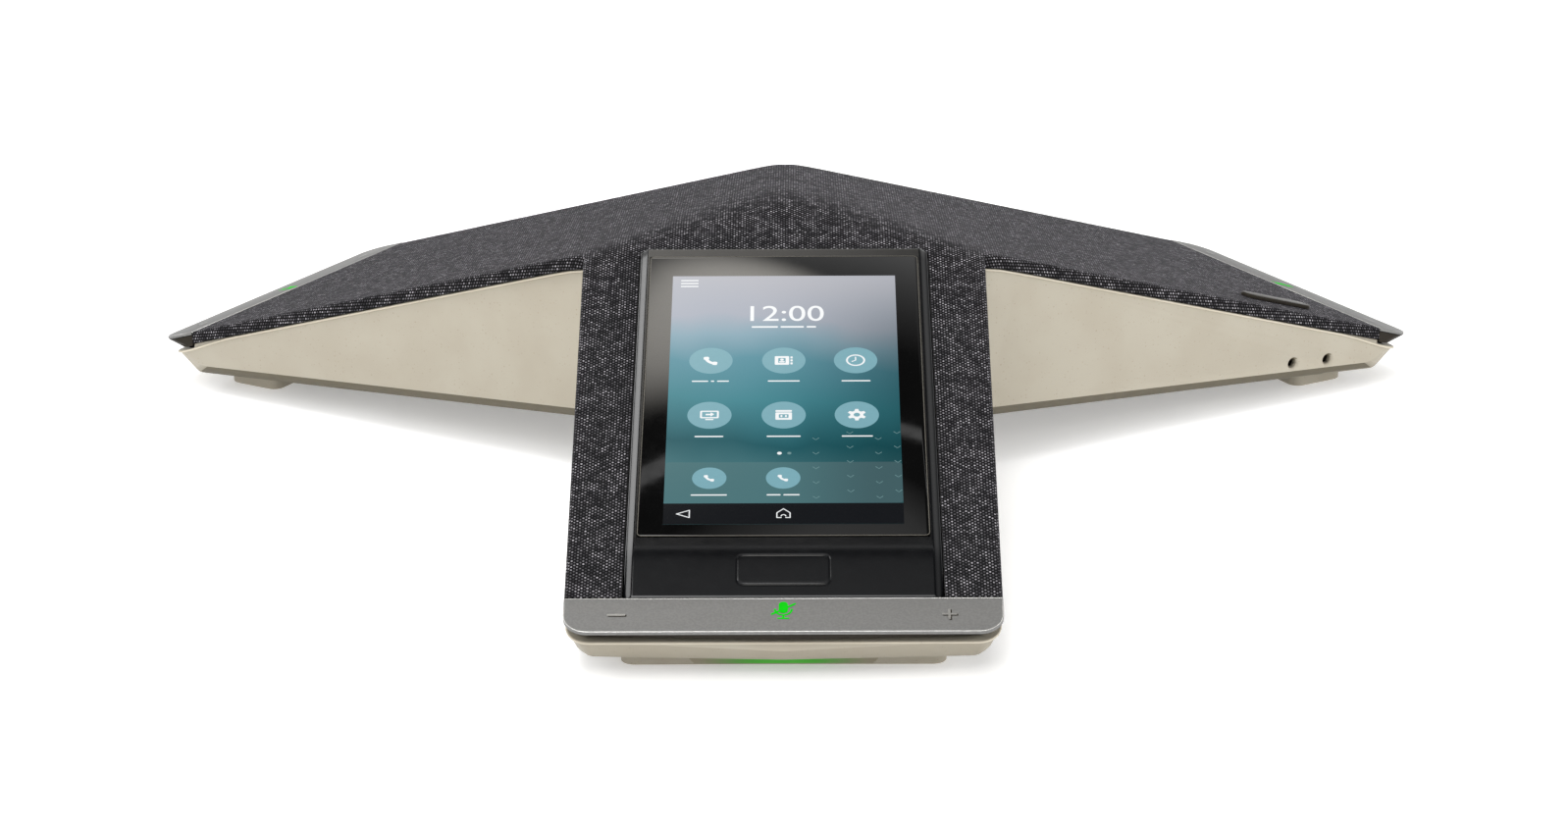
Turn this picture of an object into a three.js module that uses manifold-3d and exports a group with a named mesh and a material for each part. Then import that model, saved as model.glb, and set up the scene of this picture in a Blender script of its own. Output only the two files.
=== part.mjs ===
// Tabletop conference phone: a three-armed star with a fabric roof, a touch strip across the end of
// each arm, a colour display in the front arm and a loudspeaker in the hub.
// Millimetres, +Z up. The origin is on the table, under the middle of the footprint.
// Each arm has its own frame: +X runs outward along the arm, +Y to its left, and z = 0 is the table.

import * as THREE from 'three';
import { mergeVertices } from 'three/addons/utils/BufferGeometryUtils.js';
import Module from 'manifold-3d';

const wasm = await Module();
wasm.setup();

// ---------------------------------------------------------------- driving dimensions

const ARM_REACH = 190.6;            // hub axis to the outer edge of a touch strip
const TIP_HALF_WIDTH = 55.2;        // half the width of an arm at its tip
const SIDE_TAPER = 0.011;           // growth of the half width per mm toward the hub
const TIP_CORNER_RADIUS = 6.25;     // plan corners of an arm's tip
const ROOF_HEIGHT = 76.85;          // where the three roof planes would meet over the hub
const ROOF_SLOPE = 0.322;           // fall of a roof plane per mm outward
const PEAK_SOFTNESS = 2.6;          // rounds the ridges at the hub and takes the peak down to 74
const NOTCH_SOFTNESS = 1.2;         // rounds the ridges where they reach the notches
const UNDERSIDE_HEIGHT = 18.2;      // underside of the shell at the hub axis
const UNDERSIDE_SLOPE = 0.073;      // fall of the underside per mm outward
const GAP = 0.3;                    // clearance between neighbouring pieces

const FABRIC = 1.2;                 // thickness of the fabric cover
const BAND_DROP = 3.6;              // lower edge of the fabric band, below the roof plane
const CARRIER = 2.2;                // thickness of the moulded frame under the fabric
const LIP_DROP = 8.5;               // lower edge of the frame's locating lip
const SHELL_INSET = 0.9;            // shell walls stand this far inside the fabric
const WALL = 2.5;                   // thickness of the shell's walls and floor
const SHELL_TOP_DROP = 4.0;         // upper edge of the shell walls, below the roof plane
const SHELL_REACH = 187.0;          // hub axis to the upper edge of the shell's end wall
const TIP_TOP_DROP = 5.3;           // upper edge of the shell around a touch strip
const EDGE_CHAMFER = 3.5;           // lower edges of the side walls

const STRIP_START = 178.0;          // inner edge of a touch strip
const PLATE = 0.8;                  // thickness of the strip's metal top
const STRIP_DROP = 4.4;             // lower edge of the strip's black carrier

const SCREEN_TILT = 0.3176;         // 18.2 degrees, the slope of the display
const SCREEN_CENTRE_U = 98.3;       // middle of the cover glass along the front arm
const SCREEN_CENTRE_Z = 47.9;       // height of the glass's upper face there
const GLASS_LENGTH = 124.6;
const GLASS_WIDTH = 75.1;
const GLASS_THICKNESS = 1.1;
const HOUSING_WIDTH = 81.0;
const HOUSING_START = 33.2;         // upper end of the display housing along the arm
const HOUSING_END = 177.5;
const FOLD_U = 162.8;               // where the display plane bends down into the chin

const FOOT_INNER = 156.8;
const FOOT_OUTER = 174.1;
const FOOT_HALF_LENGTH = 41.5;

const SCREW_U = 122;
const SCREW_V = 46;
const SCREW_JOINT_Z = 26;           // where the shell's and the frame's screw posts meet

const FAR = 260;                    // beyond every part of the phone

// The footprint is not symmetric front to back about the hub, so the hub sits behind its middle.
const sideSpread = Math.hypot(1, SIDE_TAPER);
const cornerU = ARM_REACH - TIP_CORNER_RADIUS;
const cornerV = TIP_HALF_WIDTH + TIP_CORNER_RADIUS * (SIDE_TAPER - sideSpread);
const rearExtent = cornerU * 0.5 + cornerV * Math.sqrt(0.75) + TIP_CORNER_RADIUS;
const HUB_Y = (ARM_REACH - rearExtent) / 2;

const DEG = Math.PI / 180;
const ARMS = { right: 30 * DEG, left: 150 * DEG, front: 270 * DEG };
const headings = Object.values(ARMS);

// ---------------------------------------------------------------- materials

function finish(name, color, roughness, metalness = 0, emissive = 0x000000) {
  return new THREE.MeshStandardMaterial({ name, color, roughness, metalness, emissive });
}

const materials = {
  stone: finish('stone_plastic', 0xc9bfab, 0.55),
  fabric: finish('charcoal_fabric', 0x3b3b3e, 0.95),
  frame: finish('black_plastic', 0x1b1b1c, 0.6),
  satin: finish('satin_metal', 0x8b8a87, 0.38, 0.8),
  gloss: finish('gloss_black', 0x0c0c0d, 0.15),
  housing: finish('dark_grey_plastic', 0x2a2c2f, 0.42),
  glass: finish('display_glass', 0x08090a, 0.05),
  screen: finish('display_panel', 0x3f7f8c, 0.3, 0, 0x2c5a64),
  green: finish('green_light', 0x22d52a, 0.4, 0, 0x18c020),
  board: finish('circuit_board', 0x1f4d33, 0.55),
  tin: finish('tinned_steel', 0xb4b6b8, 0.3, 0.9),
  aluminium: finish('aluminium', 0xa9abad, 0.4, 0.9),
  ferrite: finish('ferrite_magnet', 0x2e2e30, 0.7),
  paper: finish('cone_paper', 0x2b2926, 0.9),
  rubber: finish('black_rubber', 0x151515, 0.8),
  copper: finish('copper_wire', 0xb36a3c, 0.35, 0.9),
  amber: finish('amber_film', 0xa86a25, 0.45),
};

// ---------------------------------------------------------------- solids from geometries

function solidOf(geometry) {
  const bare = geometry.clone();
  bare.deleteAttribute('normal');
  bare.deleteAttribute('uv');
  const merged = mergeVertices(bare, 1e-4);
  const index = merged.index.array;
  const corners = [];
  for (let i = 0; i < index.length; i += 3) {
    const [a, b, c] = [index[i], index[i + 1], index[i + 2]];
    if (a !== b && b !== c && c !== a) corners.push(a, b, c);
  }
  const vertProperties = new Float32Array(merged.attributes.position.array);
  const mesh = new wasm.Mesh({ numProp: 3, vertProperties, triVerts: new Uint32Array(corners) });
  return new wasm.Manifold(mesh);
}

function geometryOf(solid) {
  const mesh = solid.getMesh();
  const geometry = new THREE.BufferGeometry();
  geometry.setAttribute('position', new THREE.BufferAttribute(mesh.vertProperties, 3));
  geometry.setIndex(new THREE.BufferAttribute(mesh.triVerts, 1));
  geometry.computeVertexNormals();
  return geometry;
}

function addAll(solid, others) {
  return others.reduce((sum, other) => sum.add(other), solid);
}

function cutAll(solid, others) {
  return others.reduce((rest, other) => rest.subtract(other), solid);
}

// A box between two corners.
function block(x, y, z) {
  const geometry = new THREE.BoxGeometry(x[1] - x[0], y[1] - y[0], z[1] - z[0]);
  return geometry.translate((x[0] + x[1]) / 2, (y[0] + y[1]) / 2, (z[0] + z[1]) / 2);
}

// An upright cylinder between two heights.
function post(radius, x, y, z, sides = 16) {
  const geometry = new THREE.CylinderGeometry(radius, radius, z[1] - z[0], sides);
  return geometry.rotateX(Math.PI / 2).translate(x, y, (z[0] + z[1]) / 2);
}

function prism(shape, z) {
  const settings = { depth: z[1] - z[0], bevelEnabled: false, curveSegments: 3 };
  return new THREE.ExtrudeGeometry(shape, settings).translate(0, 0, z[0]);
}

// A turned piece about +Z. The profile lists (radius, height) counterclockwise.
function turned(profile, segments = 32) {
  const points = profile.map(([radius, height]) => new THREE.Vector2(radius, height));
  return new THREE.LatheGeometry(points, segments).rotateX(Math.PI / 2);
}

// A rectangle with round corners, centred on the origin.
function roundedPlate(length, width, radius) {
  const shape = new THREE.Shape();
  const [x, y] = [length / 2 - radius, width / 2 - radius];
  shape.absarc(x, y, radius, 0, Math.PI / 2);
  shape.absarc(-x, y, radius, Math.PI / 2, Math.PI);
  shape.absarc(-x, -y, radius, Math.PI, Math.PI * 1.5);
  shape.absarc(x, -y, radius, Math.PI * 1.5, Math.PI * 2);
  return shape;
}

// Everything behind the plane through a point, with the given outward normal.
function halfSpace(normal, point) {
  const geometry = new THREE.BoxGeometry(4 * FAR, 4 * FAR, 2 * FAR).translate(0, 0, -FAR);
  const turn = new THREE.Quaternion();
  turn.setFromUnitVectors(new THREE.Vector3(0, 0, 1), new THREE.Vector3(...normal).normalize());
  return geometry.applyQuaternion(turn).translate(...point);
}

// Everything below a plane that falls by a slope per mm outward along an arm.
function belowSlope(height, slope) {
  return halfSpace([slope, 0, 1], [0, 0, height]);
}

// ---------------------------------------------------------------- the star and its surfaces

function halfWidth(u, inset = 0) {
  return TIP_HALF_WIDTH + SIDE_TAPER * (ARM_REACH - u) - inset * sideSpread;
}

function roofPlane(u, drop = 0) {
  return ROOF_HEIGHT - ROOF_SLOPE * u - drop;
}

function underside(u) {
  return UNDERSIDE_HEIGHT - UNDERSIDE_SLOPE * u;
}

// The two round corners of an arm's tip, from its right side to its left, in the arm's frame.
function tipCorners(inset, reach) {
  const radius = TIP_CORNER_RADIUS - inset * 0.5;
  const u = reach - radius;
  const v = halfWidth(u, inset) - radius * sideSpread;
  const sweep = Math.PI / 2 - Math.atan(SIDE_TAPER);
  const steps = 6;
  const points = [];
  for (const side of [-1, 1]) {
    for (let i = 0; i <= steps; i += 1) {
      const angle = sweep * (side < 0 ? i / steps - 1 : i / steps);
      points.push([u + radius * Math.cos(angle), side * v + radius * Math.sin(angle)]);
    }
  }
  return points;
}

// Plan outline of the whole star.
function starShape(inset, reach = ARM_REACH - inset) {
  const notchU = halfWidth(0, inset) / (Math.sqrt(3) + SIDE_TAPER);
  const armPoints = [...tipCorners(inset, reach), [notchU, notchU * Math.sqrt(3)]];
  const points = headings.flatMap((heading) => armPoints.map(([u, v]) => {
    return new THREE.Vector2(u, v).rotateAround(new THREE.Vector2(), heading);
  }));
  return new THREE.Shape(points);
}

// Plan outline of one arm's end, in the arm's frame.
function tipShape(start, inset, reach = ARM_REACH - inset) {
  const half = halfWidth(start, inset);
  const points = [[start, -half], ...tipCorners(inset, reach), [start, half]];
  return new THREE.Shape(points.map(([u, v]) => new THREE.Vector2(u, v)));
}

function star(inset, reach) {
  return solidOf(prism(starShape(inset, reach), [-20, 100]));
}

// Cutters for faces that lean in under an arm's tip and round its corners, like a boat's bow. Each
// lean gives an angle from the arm's axis, and how far the face runs in per mm below the roof plane.
function bow(inset, reach, drop, leans, inward = 0) {
  const radius = TIP_CORNER_RADIUS - inset * 0.5;
  const u = reach - radius;
  const v = halfWidth(u, inset) - radius * sideSpread;
  return leans.flatMap(([degrees, run]) => [-1, 1].map((side) => {
    const angle = THREE.MathUtils.degToRad(degrees);
    const [along, across] = [Math.cos(angle), side * Math.sin(angle)];
    const normal = new THREE.Vector3(along - run * ROOF_SLOPE, across, -run).normalize();
    const edge = u + radius * along;
    const point = new THREE.Vector3(edge, side * v + radius * across, roofPlane(edge, drop));
    const kept = halfSpace(normal.toArray(), point.addScaledVector(normal, -inward).toArray());
    const corner = block([150, FAR], side > 0 ? [-3, 90] : [-90, 3], [-20, 60]);
    return geometryOf(solidOf(corner).subtract(solidOf(kept)));
  }));
}

// Height of the roof: three planes blended by a soft minimum that sharpens away from the hub.
function roofHeight(x, y) {
  const away = THREE.MathUtils.smoothstep(Math.hypot(x, y), 20, 60);
  const softness = THREE.MathUtils.lerp(PEAK_SOFTNESS, NOTCH_SOFTNESS, away);
  const heights = headings.map((h) => roofPlane(x * Math.cos(h) + y * Math.sin(h)));
  const sum = heights.reduce((total, z) => total + Math.exp((ROOF_HEIGHT - z) / softness), 0);
  return ROOF_HEIGHT - softness * Math.log(sum);
}

// Everything under the roof surface, lowered by a drop.
function underRoof(drop) {
  const top = 1;
  const rings = [FAR, 76, 50, 32, 20, 9];
  const profile = [[0, -90], [FAR, -90], ...rings.map((radius) => [radius, top]), [0, top]];
  const geometry = turned(profile, 36);
  const position = geometry.attributes.position;
  for (let i = 0; i < position.count; i += 1) {
    if (position.getZ(i) > 0) {
      position.setZ(i, roofHeight(position.getX(i), position.getY(i)) - drop);
    }
  }
  return solidOf(geometry);
}

// Everything below the shallow three-sided arch of the underside, raised by a rise.
function underArch(rise) {
  const sides = headings.map((heading) => {
    return solidOf(belowSlope(UNDERSIDE_HEIGHT + rise, UNDERSIDE_SLOPE).rotateZ(heading));
  });
  return sides[0].intersect(sides[1]).intersect(sides[2]);
}

// The same cutter on every arm.
function onEachArm(makeGeometry) {
  return headings.map((heading) => solidOf(makeGeometry().rotateZ(heading)));
}

const screwPlaces = [[SCREW_U, -SCREW_V], [SCREW_U, SCREW_V]];

// ---------------------------------------------------------------- rear port bay

const BAY_HALF_WIDTH = 30;
const BAY_WALL_Y = 62.8;            // face that the sockets open in, from the hub axis
const BAY_CEILING = 40;
const BOARD_TOP = 22.0;             // upper face of the rear board
const PORTS = {
  ethernet: { x: -14.5, width: 16.0, depth: 21.0, height: 13.4, mouth: [11.8, 8.2], sill: 2.4 },
  usbA: { x: 6.0, width: 14.4, depth: 17.0, height: 7.6, mouth: [12.4, 4.8], sill: 1.4 },
  usbC: { x: 21.5, width: 9.6, depth: 9.0, height: 4.0, mouth: [8.4, 2.7], sill: 0.65 },
};
const PORT_FACE_Y = BAY_WALL_Y - WALL - GAP;

// The box of a socket's mouth, from a depth behind the wall to beyond it.
function portMouth(port, y, spare = 0) {
  const half = port.mouth[0] / 2 + spare;
  const low = BOARD_TOP + GAP + port.sill - spare;
  return block([port.x - half, port.x + half], y, [low, low + port.mouth[1] + 2 * spare]);
}

// ---------------------------------------------------------------- shell

const MIC_JACKS = [145.6, 158.8];   // places of the two small jacks along the right arm
const JACK_RISE = 3.3;              // their height above the shell's inner floor
const JACK_BORE = 1.35;

function innerFloor(u) {
  return underside(u) + WALL;
}

// Runs along an arm's side wall at a jack's place and height.
function jackCutter(radius, v, u) {
  const geometry = new THREE.CylinderGeometry(radius[0], radius[1], v[1] - v[0], 16);
  return geometry.translate(u, (v[0] + v[1]) / 2, innerFloor(u) + JACK_RISE);
}

function edgeChamfer(side) {
  const u = SCREW_U;
  const point = [u, side * (halfWidth(u, SHELL_INSET) - EDGE_CHAMFER), underside(u)];
  const normal = [SIDE_TAPER - UNDERSIDE_SLOPE, side, -1];
  const wedge = block([36, FAR], [40, 70].map((v) => v * side).sort((a, b) => a - b), [-10, 30]);
  return geometryOf(solidOf(wedge).subtract(solidOf(halfSpace(normal, point))));
}

// The leaning faces of the shell's three tips, moved inward by a distance.
function shellBow(inward) {
  const leans = [[2, 0.64], [23, 0.67], [45, 0.65], [67, 0.45]];
  return headings.flatMap((heading) => {
    const cutters = bow(SHELL_INSET, SHELL_REACH, TIP_TOP_DROP, leans, inward);
    return cutters.map((cutter) => solidOf(cutter.rotateZ(heading)));
  });
}

function baseShell() {
  const tipStep = block([STRIP_START - GAP, FAR], [-80, 80], [-10, 100]);
  const stepped = solidOf(tipStep).subtract(solidOf(belowSlope(ROOF_HEIGHT - TIP_TOP_DROP, ROOF_SLOPE)));

  const bay = block([-BAY_HALF_WIDTH, BAY_HALF_WIDTH], [BAY_WALL_Y, 110], [-10, BAY_CEILING]);
  let outer = star(SHELL_INSET, SHELL_REACH).intersect(underRoof(SHELL_TOP_DROP));
  outer = outer.subtract(underArch(0)).subtract(solidOf(bay));
  outer = cutAll(outer, onEachArm(() => geometryOf(stepped)));
  outer = cutAll(outer, shellBow(0));
  for (const side of [-1, 1]) outer = cutAll(outer, onEachArm(() => edgeChamfer(side)));

  const roomBay = block(
    [-BAY_HALF_WIDTH - WALL, BAY_HALF_WIDTH + WALL], [BAY_WALL_Y - WALL, 110], [-10, BAY_CEILING + WALL],
  );
  let room = star(SHELL_INSET + WALL, SHELL_REACH - WALL);
  room = room.subtract(underArch(WALL)).subtract(solidOf(roomBay));
  room = cutAll(room, shellBow(WALL));
  let shell = outer.subtract(room);

  for (const [u, v] of screwPlaces) {
    const column = [underside(u) - 2, SCREW_JOINT_Z];
    const posts = onEachArm(() => post(4.2, u, v, column)).map((p) => p.subtract(underArch(0)));
    shell = addAll(shell, posts);
    shell = cutAll(shell, onEachArm(() => post(1.7, u, v, [-10, 60])));
    shell = cutAll(shell, onEachArm(() => post(3.4, u, v, [-10, underside(u) + 3.2])));
  }
  for (const [u, v] of boardPosts) {
    const stand = post(3, u, v, [underside(u) + 1, MAIN_BOARD_Z - GAP]).rotateZ(ARMS.front);
    shell = shell.add(solidOf(stand));
  }
  for (const x of [-27, 27]) {
    shell = shell.add(solidOf(post(2.6, x, 42, [UNDERSIDE_HEIGHT - 2, BOARD_TOP - 1.6 - GAP])));
  }
  for (const port of Object.values(PORTS)) {
    shell = shell.subtract(solidOf(portMouth(port, [BAY_WALL_Y - WALL - 2, BAY_WALL_Y + 2], 0.4)));
  }
  for (const u of MIC_JACKS) {
    const wall = halfWidth(u, SHELL_INSET);
    const bore = jackCutter([JACK_BORE + 0.15, JACK_BORE + 0.15], [-wall - 3, -wall + 5], u);
    const bevel = jackCutter([JACK_BORE, JACK_BORE + 1.2], [-wall - 0.4, -wall + 0.8], u);
    shell = shell.subtract(solidOf(bore.rotateZ(ARMS.right)));
    shell = shell.subtract(solidOf(bevel.rotateZ(ARMS.right)));
  }
  return geometryOf(shell);
}

// ---------------------------------------------------------------- moulded frame and fabric

// The opening that the display housing drops through, with round upper corners.
function displayOpening(spare) {
  const start = HOUSING_START - spare;
  const half = HOUSING_WIDTH / 2 + spare;
  const shape = roundedPlate(2 * (FAR - start), 2 * half, 3);
  return prism(shape, [-10, 100]).translate(FAR, 0, 0);
}

function gripHoles() {
  const holes = [];
  const spacing = 9.5;
  for (let ring = 0; ring <= 2; ring += 1) {
    const count = Math.max(1, ring * 6);
    for (let i = 0; i < count; i += 1) {
      const angle = (2 * Math.PI * i) / count;
      const [x, y] = [ring * spacing * Math.cos(angle), ring * spacing * Math.sin(angle)];
      holes.push(solidOf(post(3.1, x, y, [50, 100], 8)));
    }
  }
  return holes;
}

function topFrame() {
  const inset = FABRIC + GAP;
  const outline = star(inset, STRIP_START - GAP);
  const plate = outline.intersect(underRoof(inset)).subtract(underRoof(inset + CARRIER));
  const lipOuter = SHELL_INSET + WALL + GAP;
  let lip = star(lipOuter, STRIP_START - GAP).subtract(star(lipOuter + 1.4, FAR / 2 + 60));
  lip = lip.intersect(underRoof(inset + 1)).subtract(underRoof(LIP_DROP));
  const bayRoom = block([-36, 36], [BAY_WALL_Y - WALL - 4, 110], [-10, BAY_CEILING + WALL + GAP]);
  let frame = plate.add(lip.subtract(solidOf(bayRoom)));
  for (const [u, v] of screwPlaces) {
    const boss = onEachArm(() => post(3.6, u, v, [SCREW_JOINT_Z + GAP, 60]));
    frame = addAll(frame, boss.map((b) => b.intersect(underRoof(inset + 1))));
    frame = cutAll(frame, onEachArm(() => post(1.7, u, v, [SCREW_JOINT_Z - 4, SCREW_JOINT_Z + 5.5])));
  }
  frame = frame.subtract(solidOf(displayOpening(GAP).rotateZ(ARMS.front)));
  frame = cutAll(frame, onEachArm(() => block([STRIP_START - 0.4, FAR], [-80, 80], [-10, 100])));
  return geometryOf(cutAll(frame, gripHoles()));
}

function fabricCover() {
  const outer = star(0).intersect(underRoof(0));
  const inner = star(FABRIC).intersect(underRoof(FABRIC));
  let cover = outer.subtract(inner).subtract(underRoof(BAND_DROP));
  cover = cover.subtract(solidOf(displayOpening(0.5).rotateZ(ARMS.front)));
  cover = cutAll(cover, onEachArm(() => block([STRIP_START - 0.3, FAR], [-80, 80], [-10, 100])));
  return geometryOf(cover);
}

// ---------------------------------------------------------------- touch strips, in an arm's frame

const LENS_LENGTH = 7.6;
const LENS_WIDTH = 5.6;
const LENS_U = 182.6;
const PLUG_REACH = 181.0;           // end of the carrier's tongue inside the shell

// Between two drops below the roof plane.
function roofSlab(shape, upper, lower) {
  const slab = solidOf(prism(shape, [-10, 60]));
  const top = solidOf(belowSlope(ROOF_HEIGHT - upper, ROOF_SLOPE));
  const bottom = solidOf(belowSlope(ROOF_HEIGHT - lower, ROOF_SLOPE));
  return slab.intersect(top).subtract(bottom);
}

function lensColumn(spare) {
  const shape = roundedPlate(LENS_LENGTH + 2 * spare, LENS_WIDTH + 2 * spare, 1.5);
  return prism(shape, [-10, 60]).translate(LENS_U, 0, 0);
}

function stripPlate() {
  const plate = roofSlab(tipShape(STRIP_START, 0), 0, PLATE);
  return geometryOf(plate.subtract(solidOf(lensColumn(GAP))));
}

function stripCarrier() {
  const top = PLATE + GAP;
  const inset = 0.3;
  const leans = [[2, 1.43], [23, 1.4], [45, 1.2], [67, 0.7]];
  const slab = roofSlab(tipShape(STRIP_START, inset), top, STRIP_DROP);
  const carrier = cutAll(slab, bow(inset, ARM_REACH - inset, top, leans).map(solidOf));
  const beyondStart = solidOf(block([STRIP_START, FAR], [-80, 80], [-10, 60]));
  const tongue = tipShape(STRIP_START - 6, SHELL_INSET + WALL + 0.8, PLUG_REACH);
  const plug = roofSlab(tongue, STRIP_DROP - 0.5, 6.6).intersect(beyondStart);
  const boardRoom = roofSlab(touchBoardShape(GAP), 0, 3.2);
  return geometryOf(carrier.add(plug).subtract(boardRoom));
}

function rectangle(start, end, half) {
  const corners = [[start, -half], [end, -half], [end, half], [start, half]];
  return new THREE.Shape(corners.map(([u, v]) => new THREE.Vector2(u, v)));
}

function touchBoardShape(spare) {
  return rectangle(180.2 - spare, 187.6 + spare, 44 + spare);
}

function touchBoard() {
  return geometryOf(roofSlab(touchBoardShape(0), 1.9, 2.9));
}

function muteLens() {
  const lens = solidOf(lensColumn(0)).intersect(solidOf(belowSlope(ROOF_HEIGHT, ROOF_SLOPE)));
  return geometryOf(lens.subtract(solidOf(belowSlope(ROOF_HEIGHT - PLATE - 0.25, ROOF_SLOPE))));
}

// ---------------------------------------------------------------- feet and microphones

const LIGHT = { halfLength: 20, low: 0.6, high: 3.2, depth: 2.4 };

function foot() {
  const length = FOOT_OUTER - FOOT_INNER;
  const shape = roundedPlate(length, 2 * FOOT_HALF_LENGTH, 3);
  const bar = solidOf(prism(shape, [0, 12]).translate((FOOT_INNER + FOOT_OUTER) / 2, 0, 0));
  const shaped = bar.intersect(solidOf(belowSlope(UNDERSIDE_HEIGHT - GAP, UNDERSIDE_SLOPE)));
  const half = LIGHT.halfLength + GAP;
  const slot = block(
    [FOOT_OUTER - LIGHT.depth - GAP, FAR], [-half, half], [LIGHT.low - GAP, LIGHT.high + GAP],
  );
  return geometryOf(shaped.subtract(solidOf(slot)));
}

function footLight() {
  const across = [-LIGHT.halfLength, LIGHT.halfLength];
  return block([FOOT_OUTER - LIGHT.depth, FOOT_OUTER - 0.1], across, [LIGHT.low, LIGHT.high]);
}

function microphone() {
  const [low, high, radius] = [12.0, 16.4, 4.85];
  return turned([[0, low], [radius, low], [radius, high - 0.4], [radius - 0.4, high], [1, high],
    [1, high - 0.8], [0, high - 0.8]], 20).translate(167, 0, 0);
}

function shellScrew(u, v) {
  const seat = underside(u) + 3.2 - GAP;
  return turned([[0, seat - 0.9], [1.1, seat - 0.9], [1.1, seat - 2.1], [2.9, seat - 2.1], [2.9, seat],
    [1.35, seat], [1.35, SCREW_JOINT_Z + 5], [0, SCREW_JOINT_Z + 5.2]], 12).translate(u, v, 0);
}

// ---------------------------------------------------------------- display, in the front arm's frame

// Moves a piece made flat, with its upper face at z = 0, onto the display plane.
function onScreen(geometry) {
  return geometry.rotateY(SCREEN_TILT).translate(SCREEN_CENTRE_U, 0, SCREEN_CENTRE_Z);
}

function screenPlane(u, depth = 0) {
  return SCREEN_CENTRE_Z - (u - SCREEN_CENTRE_U) * Math.tan(SCREEN_TILT) - depth / Math.cos(SCREEN_TILT);
}

const PANEL = { length: 116, width: 67, offset: 2.5, top: -GLASS_THICKNESS - GAP, thickness: 2.0 };
const TRAY_TOP = PANEL.top - PANEL.thickness - GAP;
const TRAY = 0.9;
const PAN_FLOOR = TRAY_TOP - TRAY - GAP;
const PAN_DEPTH = -PAN_FLOOR + 1.6;
const CHIN_SLOPE = 0.474;           // 25.4 degrees
const PAD = { length: 9.2, width: 23.6, u: 168.8, thickness: 1.2 };
const RIBBON_SLOT = { u: 10, halfWidth: 11, halfLength: 2.6 };

function chinPlane(u) {
  return screenPlane(FOLD_U) - (u - FOLD_U) * CHIN_SLOPE;
}

function onChin(geometry) {
  return geometry.rotateY(Math.atan(CHIN_SLOPE)).translate(PAD.u, 0, chinPlane(PAD.u));
}

function displayHousing() {
  const outline = [
    [HOUSING_START, roofPlane(HOUSING_START, -0.4)],
    [HOUSING_START + 3, screenPlane(HOUSING_START + 3, 0.3)],
    [FOLD_U, screenPlane(FOLD_U, 0.3)],
    [HOUSING_END, chinPlane(HOUSING_END) - 0.3],
    [HOUSING_END, chinPlane(HOUSING_END) - 3.2],
    [FOLD_U, screenPlane(FOLD_U, 5.5)],
    [FOLD_U - 3, screenPlane(FOLD_U - 3, PAN_DEPTH)],
    [HOUSING_START + 3, screenPlane(HOUSING_START + 3, PAN_DEPTH)],
    [HOUSING_START, screenPlane(HOUSING_START, PAN_DEPTH - 1)],
  ];
  // The outline lists (u, z), and rotateX stands it upright along the arm.
  const side = new THREE.Shape(outline.map(([u, z]) => new THREE.Vector2(u, z)));
  const half = HOUSING_WIDTH / 2;
  const bar = solidOf(prism(side, [-half, half]).rotateX(Math.PI / 2)).intersect(solidOf(displayOpening(0)));
  const room = solidOf(onScreen(prism(
    roundedPlate(GLASS_LENGTH + 2 * GAP, GLASS_WIDTH + 2 * GAP, 1.5), [PAN_FLOOR, 10],
  )));
  const slot = solidOf(onScreen(block(
    [RIBBON_SLOT.u - RIBBON_SLOT.halfLength, RIBBON_SLOT.u + RIBBON_SLOT.halfLength],
    [-RIBBON_SLOT.halfWidth, RIBBON_SLOT.halfWidth], [-30, 0],
  )));
  const padRoom = solidOf(onChin(prism(
    roundedPlate(PAD.length + 2 * GAP, PAD.width + 2 * GAP, 1.5), [-PAD.thickness - GAP, 10],
  )));
  let housing = bar.subtract(room).subtract(slot).subtract(padRoom);
  for (const flank of [-1, 1]) {
    const normal = [ROOF_SLOPE * 0.62 + 0.03, flank, 0.62];
    const point = [SCREEN_CENTRE_U, flank * half, roofPlane(SCREEN_CENTRE_U, 0.6)];
    housing = housing.intersect(solidOf(halfSpace(normal, point)));
  }
  return geometryOf(housing);
}

function coverGlass() {
  const shape = roundedPlate(GLASS_LENGTH, GLASS_WIDTH, 1.2);
  return onScreen(prism(shape, [-GLASS_THICKNESS, 0]));
}

function lcdPanel() {
  const [half, across] = [PANEL.length / 2, PANEL.width / 2];
  const along = [PANEL.offset - half, PANEL.offset + half];
  return onScreen(block(along, [-across, across], [PANEL.top - PANEL.thickness, PANEL.top]));
}

function displayTray() {
  const sheet = solidOf(block([-60, 61], [-35.5, 35.5], [TRAY_TOP - TRAY, TRAY_TOP]));
  const length = RIBBON_SLOT.halfLength;
  const slot = block([RIBBON_SLOT.u - length, RIBBON_SLOT.u + length], [-12, 12], [-30, 0]);
  return onScreen(geometryOf(sheet.subtract(solidOf(slot))));
}

function chinPad() {
  return onChin(prism(roundedPlate(PAD.length, PAD.width, 1.2), [-PAD.thickness, -0.3]));
}

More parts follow.
